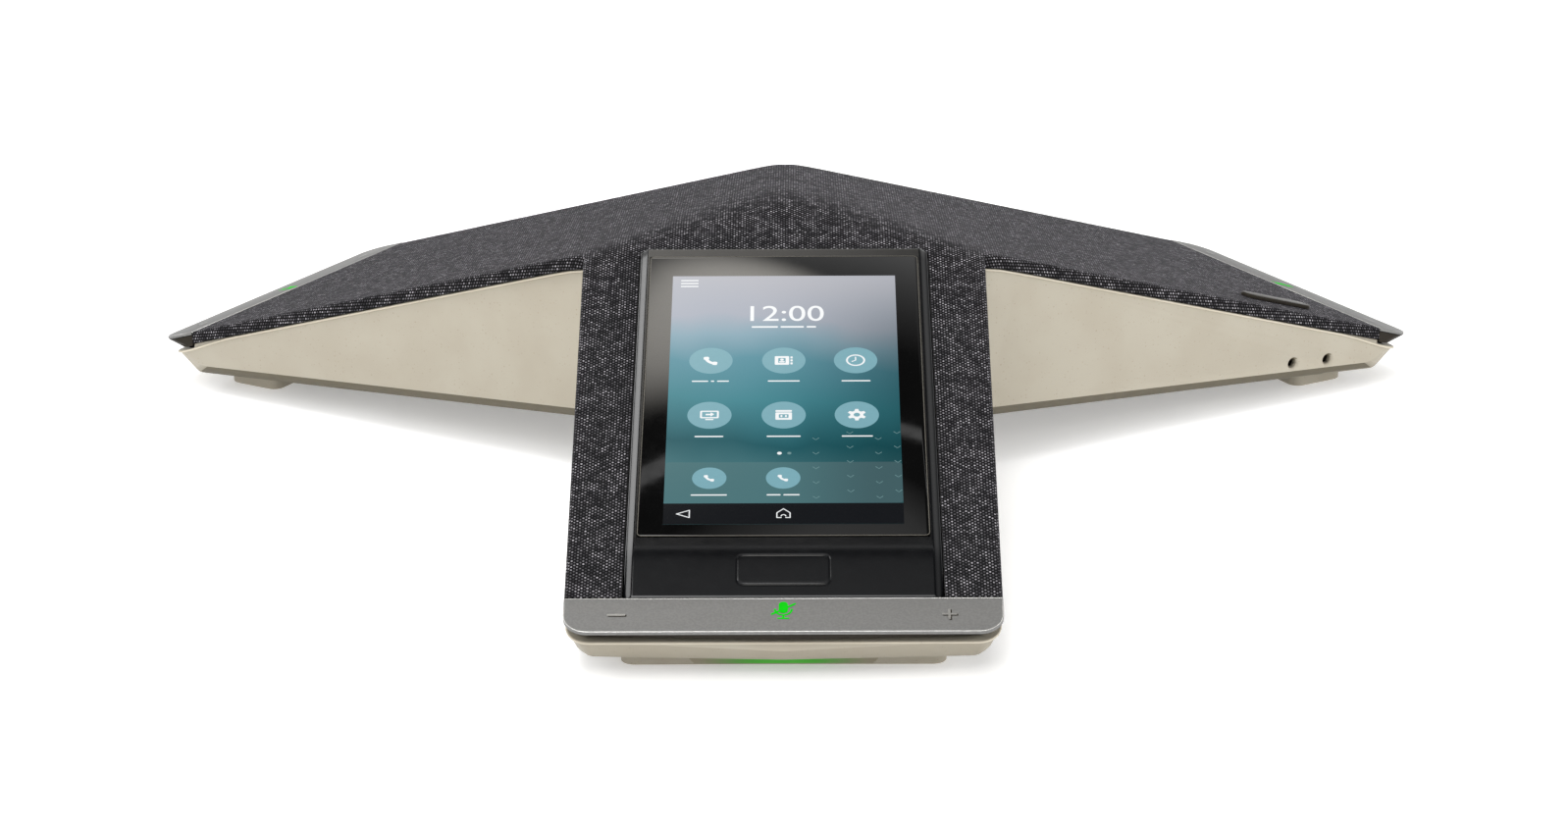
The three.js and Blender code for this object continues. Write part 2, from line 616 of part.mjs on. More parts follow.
// A flat flexible cable from the back of the display down to the main board.
function displayRibbon() {
  const slotU = SCREEN_CENTRE_U + RIBBON_SLOT.u * Math.cos(SCREEN_TILT);
  const slotZ = screenPlane(slotU);
  const [half, thick] = [8, 0.4];
  const path = new THREE.CatmullRomCurve3([
    [slotU - 1.0, slotZ - 5.2], [slotU - 2.2, slotZ - 9.5], [slotU + 5, slotZ - 14],
    [slotU + 9, MAIN_BOARD_Z + 6.5], [slotU + 2, MAIN_BOARD_Z + 2.8],
  ].map(([u, z]) => new THREE.Vector3(u, 0, z)));
  const centre = path.getPoints(18);
  const offset = (sign) => centre.map((p, i) => {
    const tangent = path.getTangent(i / 18);
    return new THREE.Vector2(p.x - sign * tangent.z * thick / 2, p.z + sign * tangent.x * thick / 2);
  });
  const outline = new THREE.Shape([...offset(1), ...offset(-1).reverse()]);
  return prism(outline, [-half, half]).rotateX(Math.PI / 2);
}

// ---------------------------------------------------------------- electronics, in the front arm's frame

const MAIN_BOARD_Z = 19.0;          // lower face of the main board
const BOARD = 1.6;
const boardPosts = [[58, -29], [58, 29], [132, -29], [132, 29]];

function mainBoard() {
  let board = solidOf(block([52, 138], [-34, 34], [MAIN_BOARD_Z, MAIN_BOARD_Z + BOARD]));
  const top = MAIN_BOARD_Z + BOARD;
  const chips = [
    [[100, 110], [-20, -8], 1.3], [[100, 108], [14, 26], 1.1], [[120, 130], [-24, -6], 2.2],
    [[118, 126], [6, 12], 1.6], [[62, 68], [-22, -14], 2.6], [[112.5, 117], [-9, 9], 1.4],
  ];
  for (const [u, v, height] of chips) {
    board = board.add(solidOf(block(u, v, [top - 0.1, top + height])));
  }
  return geometryOf(board);
}

// A pressed can, open below.
function processorShield() {
  const bottom = MAIN_BOARD_Z + BOARD + GAP;
  const can = solidOf(block([70, 98], [-15, 15], [bottom, bottom + 2.6]));
  return geometryOf(can.subtract(solidOf(block([70.3, 97.7], [-14.7, 14.7], [bottom - 1, bottom + 2.3]))));
}

function heatSpreader() {
  const bottom = MAIN_BOARD_Z + BOARD + GAP + 2.6 + GAP;
  let plate = solidOf(block([60, 100], [-26, 26], [bottom, bottom + 1.5]));
  for (let v = -24; v <= 24; v += 6) {
    plate = plate.add(solidOf(block([62, 98], [v - 0.6, v + 0.6], [bottom + 1.4, bottom + 5])));
  }
  return geometryOf(plate);
}

// ---------------------------------------------------------------- rear board and sockets, about the hub

function rearBoard() {
  return block([-31, 31], [38.2, PORT_FACE_Y - GAP], [BOARD_TOP - BOARD, BOARD_TOP]);
}

function socket(port) {
  const bottom = BOARD_TOP + GAP;
  const half = port.width / 2;
  const body = block(
    [port.x - half, port.x + half], [PORT_FACE_Y - port.depth, PORT_FACE_Y], [bottom, bottom + port.height],
  );
  const mouth = portMouth(port, [PORT_FACE_Y - port.depth * 0.62, PORT_FACE_Y + 5]);
  return solidOf(body).subtract(solidOf(mouth));
}

function ethernetJack() {
  const port = PORTS.ethernet;
  const low = BOARD_TOP + GAP + port.sill;
  const latch = block(
    [port.x - 3.2, port.x + 3.2], [PORT_FACE_Y - 8, PORT_FACE_Y + 5], [low + 6, low + port.mouth[1] + 1.9],
  );
  return geometryOf(socket(port).subtract(solidOf(latch)));
}

// The tongue stands in the mouth and joins the socket's back wall.
function usbPort(port, tongueWidth, tongueThickness) {
  const middle = BOARD_TOP + GAP + port.sill + port.mouth[1] / 2;
  const back = PORT_FACE_Y - port.depth * 0.62;
  const [half, thick] = [tongueWidth / 2, tongueThickness / 2];
  const tongue = block(
    [port.x - half, port.x + half], [back - 0.5, PORT_FACE_Y - 1], [middle - thick, middle + thick],
  );
  return geometryOf(socket(port).add(solidOf(tongue)));
}

function powerModule() {
  const bottom = BOARD_TOP + GAP;
  const core = solidOf(block([16, 30], [38.8, 49], [bottom, bottom + 9]));
  return geometryOf(core.add(solidOf(block([18, 28], [40, 48], [bottom + 8.9, bottom + 10.5]))));
}

// ---------------------------------------------------------------- loudspeaker, about the hub axis

const RIM_Z = 50.4;                 // lower face of the driver's mounting flange

function speakerEnclosure() {
  const [bottom, top, radius, wall] = [23.6, RIM_Z - GAP, 36, 2];
  return turned([[0, bottom], [radius - 3, bottom], [radius, bottom + 3], [radius, top],
    [radius - 5, top], [radius - 5, top - 2], [radius - wall, top - 2 - 2], [radius - wall, bottom + 4],
    [radius - 4, bottom + wall], [0, bottom + wall]], 30);
}

function speakerBasket() {
  const profile = [[16.8, 34.2], [18.6, 34.2], [30.2, RIM_Z - 1.2], [30.2, RIM_Z], [34, RIM_Z],
    [34, RIM_Z + 1.6], [31, RIM_Z + 1.6], [31, RIM_Z + 0.4], [28.6, RIM_Z + 0.4], [18.2, 37.2],
    [16.8, 37.2]];
  const frame = solidOf(turned([...profile, profile[0]], 28));
  const windows = [45, 135, 225, 315].map((angle) => {
    return solidOf(block([20, 27.5], [-7, 7], [36, RIM_Z - 1.5]).rotateZ(angle * DEG));
  });
  return geometryOf(cutAll(frame, windows));
}

// Yoke, ring magnet and pole as one turned assembly with the voice coil's gap in it.
function speakerMagnet() {
  return turned([[0, 26.2], [18, 26.2], [18.4, 27.2], [18.4, 33.9], [7.5, 33.9], [7.5, 28.2],
    [5.9, 28.2], [5.9, 34.6], [0, 34.6]], 26);
}

function voiceCoil() {
  const profile = [[6.25, 30.4], [7.1, 30.4], [7.1, 35.4], [6.75, 35.4], [6.75, 41.2], [6.25, 41.2]];
  return turned([...profile, profile[0]], 22);
}

function speakerCone() {
  return turned([[0, 44.4], [4, 43.6], [6.2, 42.0], [8.2, 41.5], [25.2, 50.0], [26.0, 50.0],
    [26.0, 50.8], [25.0, 50.8], [8.4, 42.4], [4.4, 44.5], [0, 45.3]], 28);
}

// A half roll on the basket's flange. The cone's edge passes through its opening as it moves.
function speakerSurround() {
  const [inner, outer, flat, thick] = [26.4, 29.6, 51.1, 0.6];
  const middle = (inner + outer) / 2 + 0.5;
  const radius = 1.4;
  const arc = (r, from, to) => Array.from({ length: 6 }, (_, i) => {
    const angle = from + ((to - from) * i) / 5;
    return [middle + r * Math.cos(angle), flat + r * Math.sin(angle)];
  });
  const under = [[inner, flat], ...arc(radius, Math.PI, 0), [outer + 1, flat]];
  const arch = arc(radius + thick, 0.35, Math.PI - 0.35);
  const over = [[outer + 1, flat + thick], ...arch, [inner, flat + thick]];
  return turned([...under, ...over, under[0]], 28);
}

// A corrugated disc that centres the voice coil.
function speakerSpider() {
  const [inner, outer, middle, thick, wave] = [7.5, 16.4, 36.2, 0.6, 0.45];
  const rise = (r) => middle + wave * Math.sin(((r - inner) / (outer - inner)) * 4 * Math.PI);
  const radii = Array.from({ length: 9 }, (_, i) => inner + ((outer - inner) * i) / 8);
  const under = radii.map((r) => [r, rise(r) - thick / 2]);
  const over = [...radii].reverse().map((r) => [r, rise(r) + thick / 2]);
  return turned([...under, ...over, under[0]], 22);
}

// ---------------------------------------------------------------- small pieces on the floor of an arm

// Lays a piece made flat on the shell's inner floor at a place along an arm.
function onFloor(geometry, u, v) {
  return geometry.rotateY(Math.atan(UNDERSIDE_SLOPE)).translate(u, v, innerFloor(u));
}

function antenna() {
  const board = solidOf(block([-18, 18], [-5, 5], [GAP, GAP + 0.8]));
  return onFloor(geometryOf(board.add(solidOf(block([-16, -8], [-3, 3], [GAP + 0.7, GAP + 2.2])))), 120, 20);
}

function jackBoard() {
  const u = (MIC_JACKS[0] + MIC_JACKS[1]) / 2;
  return onFloor(block([-13, 13], [0, 15], [GAP, GAP + 0.8]), u, -halfWidth(u, SHELL_INSET + WALL) + 1.6);
}

function micJack(u) {
  const depth = 12;
  const sleeve = [[JACK_BORE, 0], [1.9, 0], [1.9, depth]];
  const profile = [...sleeve, [0, depth], [0, depth - 2], [JACK_BORE, depth - 2]];
  const barrel = turned([...profile, profile[0]], 16).rotateX(-Math.PI / 2);
  return barrel.translate(u, -halfWidth(u, SHELL_INSET + WALL) + GAP, innerFloor(u) + JACK_RISE);
}

// A plain raised bar on the fabric near the right arm's tip.
function badge() {
  const bar = prism(roundedPlate(26, 5.4, 2.6), [GAP, GAP + 1.0]);
  return bar.rotateY(Math.atan(ROOF_SLOPE)).translate(147, -43, roofPlane(147));
}

// ---------------------------------------------------------------- assembly

const phone = new THREE.Group();
const hub = new THREE.Group();
hub.position.y = HUB_Y;
phone.add(hub);

function place(parent, name, geometry, material) {
  const mesh = new THREE.Mesh(geometry, material);
  mesh.name = name;
  parent.add(mesh);
}

const arms = {};
for (const [name, heading] of Object.entries(ARMS)) {
  arms[name] = new THREE.Group();
  arms[name].rotation.z = heading;
  hub.add(arms[name]);
}

place(hub, 'base_shell', baseShell(), materials.stone);
place(hub, 'top_frame', topFrame(), materials.frame);
place(hub, 'fabric_cover', fabricCover(), materials.fabric);

for (const [name, arm] of Object.entries(arms)) {
  place(arm, `strip_plate_${name}`, stripPlate(), materials.satin);
  place(arm, `strip_carrier_${name}`, stripCarrier(), materials.gloss);
  place(arm, `touch_board_${name}`, touchBoard(), materials.board);
  place(arm, `mute_lens_${name}`, muteLens(), materials.green);
  place(arm, `foot_${name}`, foot(), materials.stone);
  place(arm, `foot_light_${name}`, footLight(), materials.green);
  place(arm, `microphone_${name}`, microphone(), materials.aluminium);
  screwPlaces.forEach(([u, v], i) => {
    place(arm, `shell_screw_${name}_${i + 1}`, shellScrew(u, v), materials.tin);
  });
}

place(arms.front, 'display_housing', displayHousing(), materials.housing);
place(arms.front, 'cover_glass', coverGlass(), materials.glass);
place(arms.front, 'lcd_panel', lcdPanel(), materials.screen);
place(arms.front, 'display_tray', displayTray(), materials.aluminium);
place(arms.front, 'chin_pad', chinPad(), materials.housing);
place(arms.front, 'display_ribbon', displayRibbon(), materials.amber);
place(arms.front, 'main_board', mainBoard(), materials.board);
place(arms.front, 'processor_shield', processorShield(), materials.tin);
place(arms.front, 'heat_spreader', heatSpreader(), materials.aluminium);

place(hub, 'rear_board', rearBoard(), materials.board);
place(hub, 'ethernet_jack', ethernetJack(), materials.tin);
place(hub, 'usb_a_port', usbPort(PORTS.usbA, 11.2, 1.8), materials.tin);
place(hub, 'usb_c_port', usbPort(PORTS.usbC, 6.6, 0.7), materials.tin);
place(hub, 'power_module', powerModule(), materials.ferrite);

place(hub, 'speaker_enclosure', speakerEnclosure(), materials.frame);
place(hub, 'speaker_basket', speakerBasket(), materials.tin);
place(hub, 'speaker_magnet', speakerMagnet(), materials.ferrite);
place(hub, 'voice_coil', voiceCoil(), materials.copper);
place(hub, 'speaker_cone', speakerCone(), materials.paper);
place(hub, 'speaker_surround', speakerSurround(), materials.rubber);
place(hub, 'speaker_spider', speakerSpider(), materials.amber);

place(arms.left, 'antenna_left', antenna(), materials.board);
place(arms.right, 'antenna_right', antenna(), materials.board);
place(arms.right, 'jack_board', jackBoard(), materials.board);
MIC_JACKS.forEach((u, i) => place(arms.right, `mic_jack_${i + 1}`, micJack(u), materials.gloss));
place(arms.right, 'badge', badge(), materials.satin);

export default phone;
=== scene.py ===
"""Looks of a three-armed tabletop conference phone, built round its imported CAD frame."""
from math import atan, copysign, cos, exp, hypot, log, pi, radians, sin, sqrt, tan

import bmesh
import bpy
from mathutils import Matrix, Vector


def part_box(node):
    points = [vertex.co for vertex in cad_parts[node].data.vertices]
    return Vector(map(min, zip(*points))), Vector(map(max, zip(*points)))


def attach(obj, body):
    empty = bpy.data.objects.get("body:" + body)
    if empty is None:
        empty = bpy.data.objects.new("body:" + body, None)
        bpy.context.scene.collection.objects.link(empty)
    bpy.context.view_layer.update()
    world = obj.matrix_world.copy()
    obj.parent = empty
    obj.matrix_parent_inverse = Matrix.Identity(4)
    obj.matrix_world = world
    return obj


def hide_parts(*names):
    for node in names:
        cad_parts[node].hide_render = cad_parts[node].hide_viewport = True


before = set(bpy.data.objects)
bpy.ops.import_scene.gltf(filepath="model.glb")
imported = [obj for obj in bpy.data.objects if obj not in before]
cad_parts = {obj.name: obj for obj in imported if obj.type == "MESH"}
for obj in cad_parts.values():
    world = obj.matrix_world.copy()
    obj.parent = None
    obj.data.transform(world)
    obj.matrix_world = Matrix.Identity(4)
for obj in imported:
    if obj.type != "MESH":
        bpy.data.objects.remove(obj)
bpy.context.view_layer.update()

# ---------------- driving dimensions
# Lengths in the arm frames are millimetres: u runs outward along an arm, v to its left, z is up
# from the table. MM takes them to metres when a piece is made.

MM = 0.001
SQRT3 = sqrt(3)


def box_mm(node):
    low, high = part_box(node)
    return Vector(low) / MM, Vector(high) / MM


HUB_Y = (box_mm("speaker_magnet")[0].y + box_mm("speaker_magnet")[1].y) / 2
REACH = HUB_Y - box_mm("strip_plate_front")[0].y  # hub axis to a strip's outer edge
STRIP_START = HUB_Y - box_mm("strip_plate_front")[1].y  # inner edge of a touch strip
TAPER = 0.011            # growth of an arm's half width per mm toward the hub
SPREAD = hypot(1, TAPER)
TIP_HALF_WIDTH = box_mm("strip_plate_front")[1].x - TAPER * (REACH - STRIP_START)
ROOF_SLOPE = 0.322       # fall of a roof plane per mm outward
ROOF_TOP = box_mm("strip_plate_front")[1].z + ROOF_SLOPE * STRIP_START
PEAK_SOFTNESS = 2.6      # rounding of the ridges at the hub
NOTCH_SOFTNESS = 1.2     # and where they reach the notches
BLEND_RADII = (20, 60)   # from the hub axis, where the first gives way to the second
UNDER_SLOPE = 0.073      # fall of the shell's underside per mm outward
CORNER = 6.25            # plan corners of an arm's tip

HEADINGS = {"right": 30, "left": 150, "front": 270}


def clamp(value):
    return min(1.0, max(0.0, value))


def half_width(u, inset=0.0):
    return TIP_HALF_WIDTH + TAPER * (REACH - u) - inset * SPREAD


def roof_plane(u, drop=0.0):
    return ROOF_TOP - ROOF_SLOPE * u - drop


def roof_height(x, y):
    """The roof over a point given from the hub axis: three planes, blended less away from the hub."""
    start, end = BLEND_RADII
    away = clamp((hypot(x, y) - start) / (end - start))
    softness = PEAK_SOFTNESS + (NOTCH_SOFTNESS - PEAK_SOFTNESS) * away * away * (3 - 2 * away)
    total = 0.0
    for heading in HEADINGS.values():
        turn = radians(heading)
        along = x * cos(turn) + y * sin(turn)
        total += exp(ROOF_SLOPE * along / softness)
    return ROOF_TOP - softness * log(total)


def arm_matrix(arm=None):
    """From an arm's frame, or the hub's, in millimetres, to the object's frame in metres."""
    turn = Matrix.Rotation(radians(HEADINGS[arm]), 4, "Z") if arm else Matrix()
    return Matrix.Scale(MM, 4) @ Matrix.Translation((0, HUB_Y, 0)) @ turn


# ---------------- node graphs

def rgb(red, green, blue):
    return (red, green, blue, 1)


class Graph:
    """Short helpers for a node graph. A value is a number, a tuple or another node's socket."""

    def __init__(self, tree):
        self.nodes = tree.nodes
        self.links = tree.links

    def node(self, kind, inputs=(), **settings):
        made = self.nodes.new("ShaderNode" + kind)
        for key, value in settings.items():
            setattr(made, key, value)
        for key, value in dict(inputs).items():
            self.feed(value, made.inputs[key])
        return made

    def feed(self, value, socket):
        if isinstance(value, bpy.types.NodeSocket):
            self.links.new(value, socket)
        else:
            socket.default_value = value

    def math(self, operation, *values):
        made = self.node("Math", operation=operation)
        for i, value in enumerate(values):
            self.feed(value, made.inputs[i])
        return made.outputs[0]

    def vector(self, operation, a, b):
        """A vector operation. b may be a number where the operation scales."""
        made = self.node("VectorMath", operation=operation)
        self.feed(a, made.inputs[0])
        self.feed(b, made.inputs["Scale" if operation == "SCALE" else 1])
        return made.outputs["Value" if operation == "DOT_PRODUCT" else 0]

    def mix(self, factor, a, b):
        return self.node("Mix", {0: factor, 6: a, 7: b}, data_type="RGBA").outputs[2]

    def ramp(self, value, start, end):
        """Runs softly from 0 to 1 while a value goes from start to end."""
        made = self.node("MapRange", {"Value": value, "From Min": start, "From Max": end})
        made.interpolation_type = "SMOOTHSTEP"
        return made.outputs["Result"]

    def color_ramp(self, value, stops):
        """A colour that changes with a value, through (value, colour) stops."""
        made = self.node("ValToRGB", {0: value})
        elements = made.color_ramp.elements
        while len(elements) < len(stops):
            elements.new(0.5)
        for element, (position, color) in zip(elements, stops):
            element.position = position
            element.color = rgb(*color)
        return made.outputs[0]


class Shader(Graph):
    """A Principled material."""

    def __init__(self, name, **sockets):
        self.material = bpy.data.materials.new(name)
        self.material.use_nodes = True
        super().__init__(self.material.node_tree)
        self.principled = self.nodes["Principled BSDF"]
        for socket, value in sockets.items():
            self.set(socket.replace("_", " "), value)

    def set(self, socket, value):
        self.feed(value, self.principled.inputs[socket])

    def place(self):
        return self.node("TexCoord").outputs["Object"]

    def noise(self, scale, detail=2.0, vector=None):
        settings = {"Scale": scale, "Detail": detail, "Vector": vector or self.place()}
        return self.node("TexNoise", settings).outputs["Fac"]

    def bump(self, height, strength, distance):
        made = self.node("Bump", {"Height": height, "Strength": strength, "Distance": distance})
        self.set("Normal", made.outputs["Normal"])


# ---------------- camera and lights

CAMERA_DISTANCE = 1140.15
CAMERA_ELEVATION = 19.147
CAMERA_AZIMUTH = 0.245
CAMERA_ROLL = -0.271
CAMERA_AIM = (-0.381, 6.341)  # right and up from the foot of the hub axis
CAMERA_LENS = 88.03


def link(made):
    bpy.context.scene.collection.objects.link(made)


def make_camera():
    data = bpy.data.cameras.new("camera")
    data.lens = CAMERA_LENS
    data.sensor_width = 36
    camera = bpy.data.objects.new("camera", data)
    around = Matrix.Rotation(radians(CAMERA_AZIMUTH), 4, "Z")
    tilt = Matrix.Rotation(radians(90 - CAMERA_ELEVATION), 4, "X")
    away = Matrix.Translation((*CAMERA_AIM, CAMERA_DISTANCE))
    roll = Matrix.Rotation(radians(CAMERA_ROLL), 4, "Z")
    view = Matrix.Translation((0, HUB_Y, 0)) @ around @ tilt @ away @ roll
    view.translation = view.translation * MM
    camera.matrix_world = view
    link(camera)
    bpy.context.scene.camera = camera


def area_light(name, place, size, power):
    """A rectangular light that points at the phone."""
    data = bpy.data.lights.new(name, "AREA")
    data.shape = "RECTANGLE"
    data.size, data.size_y = size
    data.energy = power
    light = bpy.data.objects.new(name, data)
    light.location = place
    direction = LIT_POINT - Vector(place)
    light.rotation_mode = "QUATERNION"
    light.rotation_quaternion = direction.to_track_quat("-Z", "Y")
    link(light)


def over_phone(azimuth, elevation, distance):
    """A place over the phone. Azimuth 0 is behind it, and grows to the right."""
    a, e = radians(azimuth), radians(elevation)
    return (
        distance * sin(a) * cos(e),
        distance * cos(a) * cos(e),
        distance * sin(e),
    )


LIT_POINT = Vector((0, 0, 0.03))
SOFTBOXES = {            # place, size and power
    "key_softbox": ((-0.6, -1.1, 1.0), (0.9, 0.9), 9),
    "fill_softbox": ((1.4, -0.5, 0.6), (0.8, 0.7), 9),
    "top_softbox": ((-0.35, -0.2, 1.6), (1.2, 0.6), 10),
    "back_softbox": (over_phone(-62, 32, 1.9), (1.6, 0.6), 9),
    "rim_strip": (over_phone(0, 65, 2.2), (1.6, 0.08), 0.4),
}
SUN_POWER = 1.1
SUN_SPREAD = 50          # degrees, so its shadows are soft
SUN_TILT = 22            # degrees from straight down, toward the front
WORLD_POWER = 0.95
WORLD_STOPS = (          # height of a direction, from the floor up, and its grey
    (0.0, 1.0), (0.3, 0.9), (0.6, 0.3), (0.74, 0.04), (0.93, 0.05), (0.956, 0.42), (0.97, 0.75),
)
SHEEN_PLACE = (-8.5, 46.0)  # azimuth and elevation of the soft round glow that the glass mirrors
SHEEN_RADII = (5.0, 11.6)  # it is full up to the first angle and gone at the second
SHEEN_COLOR = (3.2, 3.08, 2.86, 1)


def make_world():
    """A studio that is grey by height, with one soft round glow in it."""
    world = bpy.data.worlds.new("studio")
    bpy.context.scene.world = world
    world.use_nodes = True
    g = Graph(world.node_tree)
    direction = g.node("TexCoord").outputs["Generated"]
    height = g.node("SeparateXYZ", {0: direction}).outputs["Z"]
    grey = g.color_ramp(height, [(position, (tone, tone, tone)) for position, tone in WORLD_STOPS])
    near = g.vector("DOT_PRODUCT", direction, over_phone(*SHEEN_PLACE, 1))
    edge, core = (cos(radians(angle)) for angle in reversed(SHEEN_RADII))
    background = g.nodes["Background"]
    background.inputs["Strength"].default_value = WORLD_POWER
    g.feed(g.mix(g.ramp(near, edge, core), grey, SHEEN_COLOR), background.inputs["Color"])


def make_lights():
    for name, (place, size, power) in SOFTBOXES.items():
        area_light(name, place, size, power)
    sun = bpy.data.lights.new("front_sun", "SUN")
    sun.energy = SUN_POWER
    sun.angle = radians(SUN_SPREAD)
    lamp = bpy.data.objects.new("front_sun", sun)
    lamp.rotation_euler = (radians(SUN_TILT), 0, 0)
    link(lamp)


# ---------------- materials

def stone_plastic(name, tone):
    """Warm beige moulded plastic, finely speckled, with painted shade: dark brown where a face is
    marked as leaning down.
    """
    s = Shader(name, Roughness=0.5, Specular_IOR_Level=0.35)
    cells = s.node("TexVoronoi", {"Scale": 1300.0, "Vector": s.place()})
    parts = s.node("SeparateColor", {"Color": cells.outputs["Color"]}).outputs
    keep = s.math("GREATER_THAN", parts[0], 0.72)
    radius = s.math("MULTIPLY_ADD", parts[1], 0.22, 0.12)
    dot = s.math("MULTIPLY", s.math("LESS_THAN", cells.outputs["Distance"], radius), keep)
    dot = s.math("MULTIPLY", dot, s.math("MULTIPLY_ADD", parts[2], 0.22, 0.06))
    cloud = s.ramp(s.noise(60.0, 3.0), 0.3, 0.7)
    light_tone = rgb(0.60 * tone, 0.55 * tone, 0.445 * tone)
    dark_tone = rgb(0.565 * tone, 0.51 * tone, 0.405 * tone)
    ground = s.mix(cloud, dark_tone, light_tone)
    speckled = s.mix(dot, ground, rgb(0.16, 0.11, 0.06))
    # Painted shade: faces that make_shell marks as leaning down take this dark brown, standing in for
    # the shade under the shell.
    painted_shade = s.node("Attribute", attribute_name="painted_shade").outputs["Fac"]
    s.set("Base Color", s.mix(painted_shade, speckled, rgb(0.082, 0.068, 0.038)))
    s.set("Roughness", s.math("MULTIPLY_ADD", s.noise(400.0), 0.12, 0.44))
    s.bump(s.noise(2200.0, 3.0), 0.1, 0.0002)
    return s.material


STITCH_PITCH = 0.0015    # across, between stitches of one row
ROW_PITCH = 0.00115      # between rows that are alike, with one shifted row between them
STITCH_WANDER = 0.0002   # how far a stitch strays from its place


def charcoal_fabric():
    """Coarse knit: offset rows of pale stitches over near-black yarn, laid out by the cloth map."""
    s = Shader("charcoal_fabric", Roughness=0.92, Specular_IOR_Level=0.1)
    s.set("Sheen Weight", 0.1)
    s.set("Sheen Roughness", 0.35)
    s.set("Sheen Tint", rgb(0.75, 0.72, 0.8))
    cloth = s.node("UVMap", uv_map="cloth").outputs[0]
    wander = s.node("TexNoise", {"Scale": 900.0, "Detail": 1.0, "Vector": cloth}).outputs["Color"]
    shift = s.vector("SCALE", s.vector("SUBTRACT", wander, (0.5, 0.5, 0.5)), STITCH_WANDER)
    parts = s.node("SeparateXYZ", {0: s.vector("ADD", cloth, shift)})
    across = s.math("DIVIDE", parts.outputs[0], STITCH_PITCH)
    along = s.math("DIVIDE", parts.outputs[1], ROW_PITCH)
    first = s.math("ADD", across, along)
    second = s.math("SUBTRACT", across, along)
    a = s.math("SUBTRACT", s.math("FRACT", first), 0.5)
    b = s.math("SUBTRACT", s.math("FRACT", second), 0.5)
    dx = s.math("MULTIPLY", s.math("ADD", a, b), 1.3)
    dy = s.math("SUBTRACT", a, b)
    distance = s.math("SQRT", s.math("ADD", s.math("MULTIPLY", dx, dx), s.math("MULTIPLY", dy, dy)))
    stitch = s.ramp(distance, 0.62, 0.2)
    cell = s.node("CombineXYZ", {0: s.math("FLOOR", first), 1: s.math("FLOOR", second)})
    tone = s.node("TexWhiteNoise", {"Vector": cell.outputs[0]}).outputs["Value"]
    blotch = s.ramp(s.noise(330.0, 5.0), 0.38, 0.62)
    by_stitch = s.math("MULTIPLY_ADD", tone, 0.65, 0.35)
    fleck = s.math("MULTIPLY", by_stitch, s.math("MULTIPLY_ADD", blotch, 0.9, 0.35))
    pale = s.mix(tone, rgb(0.11, 0.106, 0.114), rgb(0.46, 0.44, 0.47))
    s.set("Base Color", s.mix(s.math("MULTIPLY", stitch, fleck), rgb(0.003, 0.003, 0.0035), pale))
    fibre = s.math("MULTIPLY", s.noise(6000.0, 2.0), 0.25)
    s.bump(s.math("ADD", stitch, fibre), 0.9, 0.0003)
    return s.material


def moulded(name, color, roughness, grain=0.08, scale=1800.0, **sockets):
    """Moulded plastic with a fine grain and slightly uneven gloss."""
    s = Shader(name, **sockets)
    lighter = rgb(*(min(1, c * 1.15 + 0.0006) for c in color))
    s.set("Base Color", s.mix(s.ramp(s.noise(45.0, 3.0), 0.3, 0.7), rgb(*color), lighter))
    s.set("Roughness", s.math("MULTIPLY_ADD", s.noise(300.0, 3.0), 0.1, roughness - 0.05))
    s.bump(s.noise(scale, 3.0), grain, 0.0002)
    return s.material


def metal(name, color, roughness, grain=0.05, scale=2600.0, metallic=1.0):
    """Metal with a fine grain. Less metallic stands for a painted or anodised surface."""
    s = Shader(name, Metallic=metallic)
    darker = rgb(*(c * 0.86 for c in color))
    s.set("Base Color", s.mix(s.ramp(s.noise(scale * 0.6, 3.0), 0.35, 0.65), darker, rgb(*color)))
    s.set("Roughness", s.math("MULTIPLY_ADD", s.noise(240.0, 3.0), 0.1, roughness - 0.05))
    s.bump(s.noise(scale, 2.0), grain, 0.0002)
    return s.material


def lit(name, color, strength):
    """Clear plastic lit from behind, a little uneven."""
    s = Shader(name, Roughness=0.5, Specular_IOR_Level=0.02)
    deep, pale = (rgb(*(c * share for c in color)) for share in (0.08, 0.1))
    s.set("Base Color", s.mix(s.noise(900.0), deep, pale))
    s.set("Emission Color", rgb(*color))
    flicker = s.noise(500.0, 2.0)
    s.set("Emission Strength", s.math("MULTIPLY_ADD", flicker, strength * 0.2, strength * 0.9))
    return s.material


def lit_foot(name, color, strength, middle, along, half):
    """A light guide in the shell's colour. Its glow is strongest at the middle and fades to nothing."""
    s = Shader(name, Roughness=0.45)
    reach = s.vector("DOT_PRODUCT", s.vector("SUBTRACT", s.place(), middle), along)
    far = s.math("ABSOLUTE", s.math("DIVIDE", reach, half))
    unlit = s.mix(s.noise(900.0), rgb(0.28, 0.25, 0.18), rgb(0.31, 0.28, 0.20))
    s.set("Base Color", s.mix(s.ramp(far, 1.0, 0.3), unlit, rgb(0.07, 0.095, 0.035)))
    s.set("Emission Color", rgb(*color))
    s.set("Emission Strength", s.math("MULTIPLY", s.ramp(far, 1.0, 0.1), strength))
    return s.material


# ---------------- mesh tools

WELD = 2e-6              # vertices closer than this are one


def add_piece(name, mesh, material, replaces=()):
    """Puts a mesh, already in metres and in the object's frame, into the scene as a piece."""
    piece = bpy.data.objects.new(name, mesh)
    link(piece)
    mesh.materials.clear()
    mesh.materials.append(material)
    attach(piece, "root")
    if replaces:
        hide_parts(*replaces)
    return piece


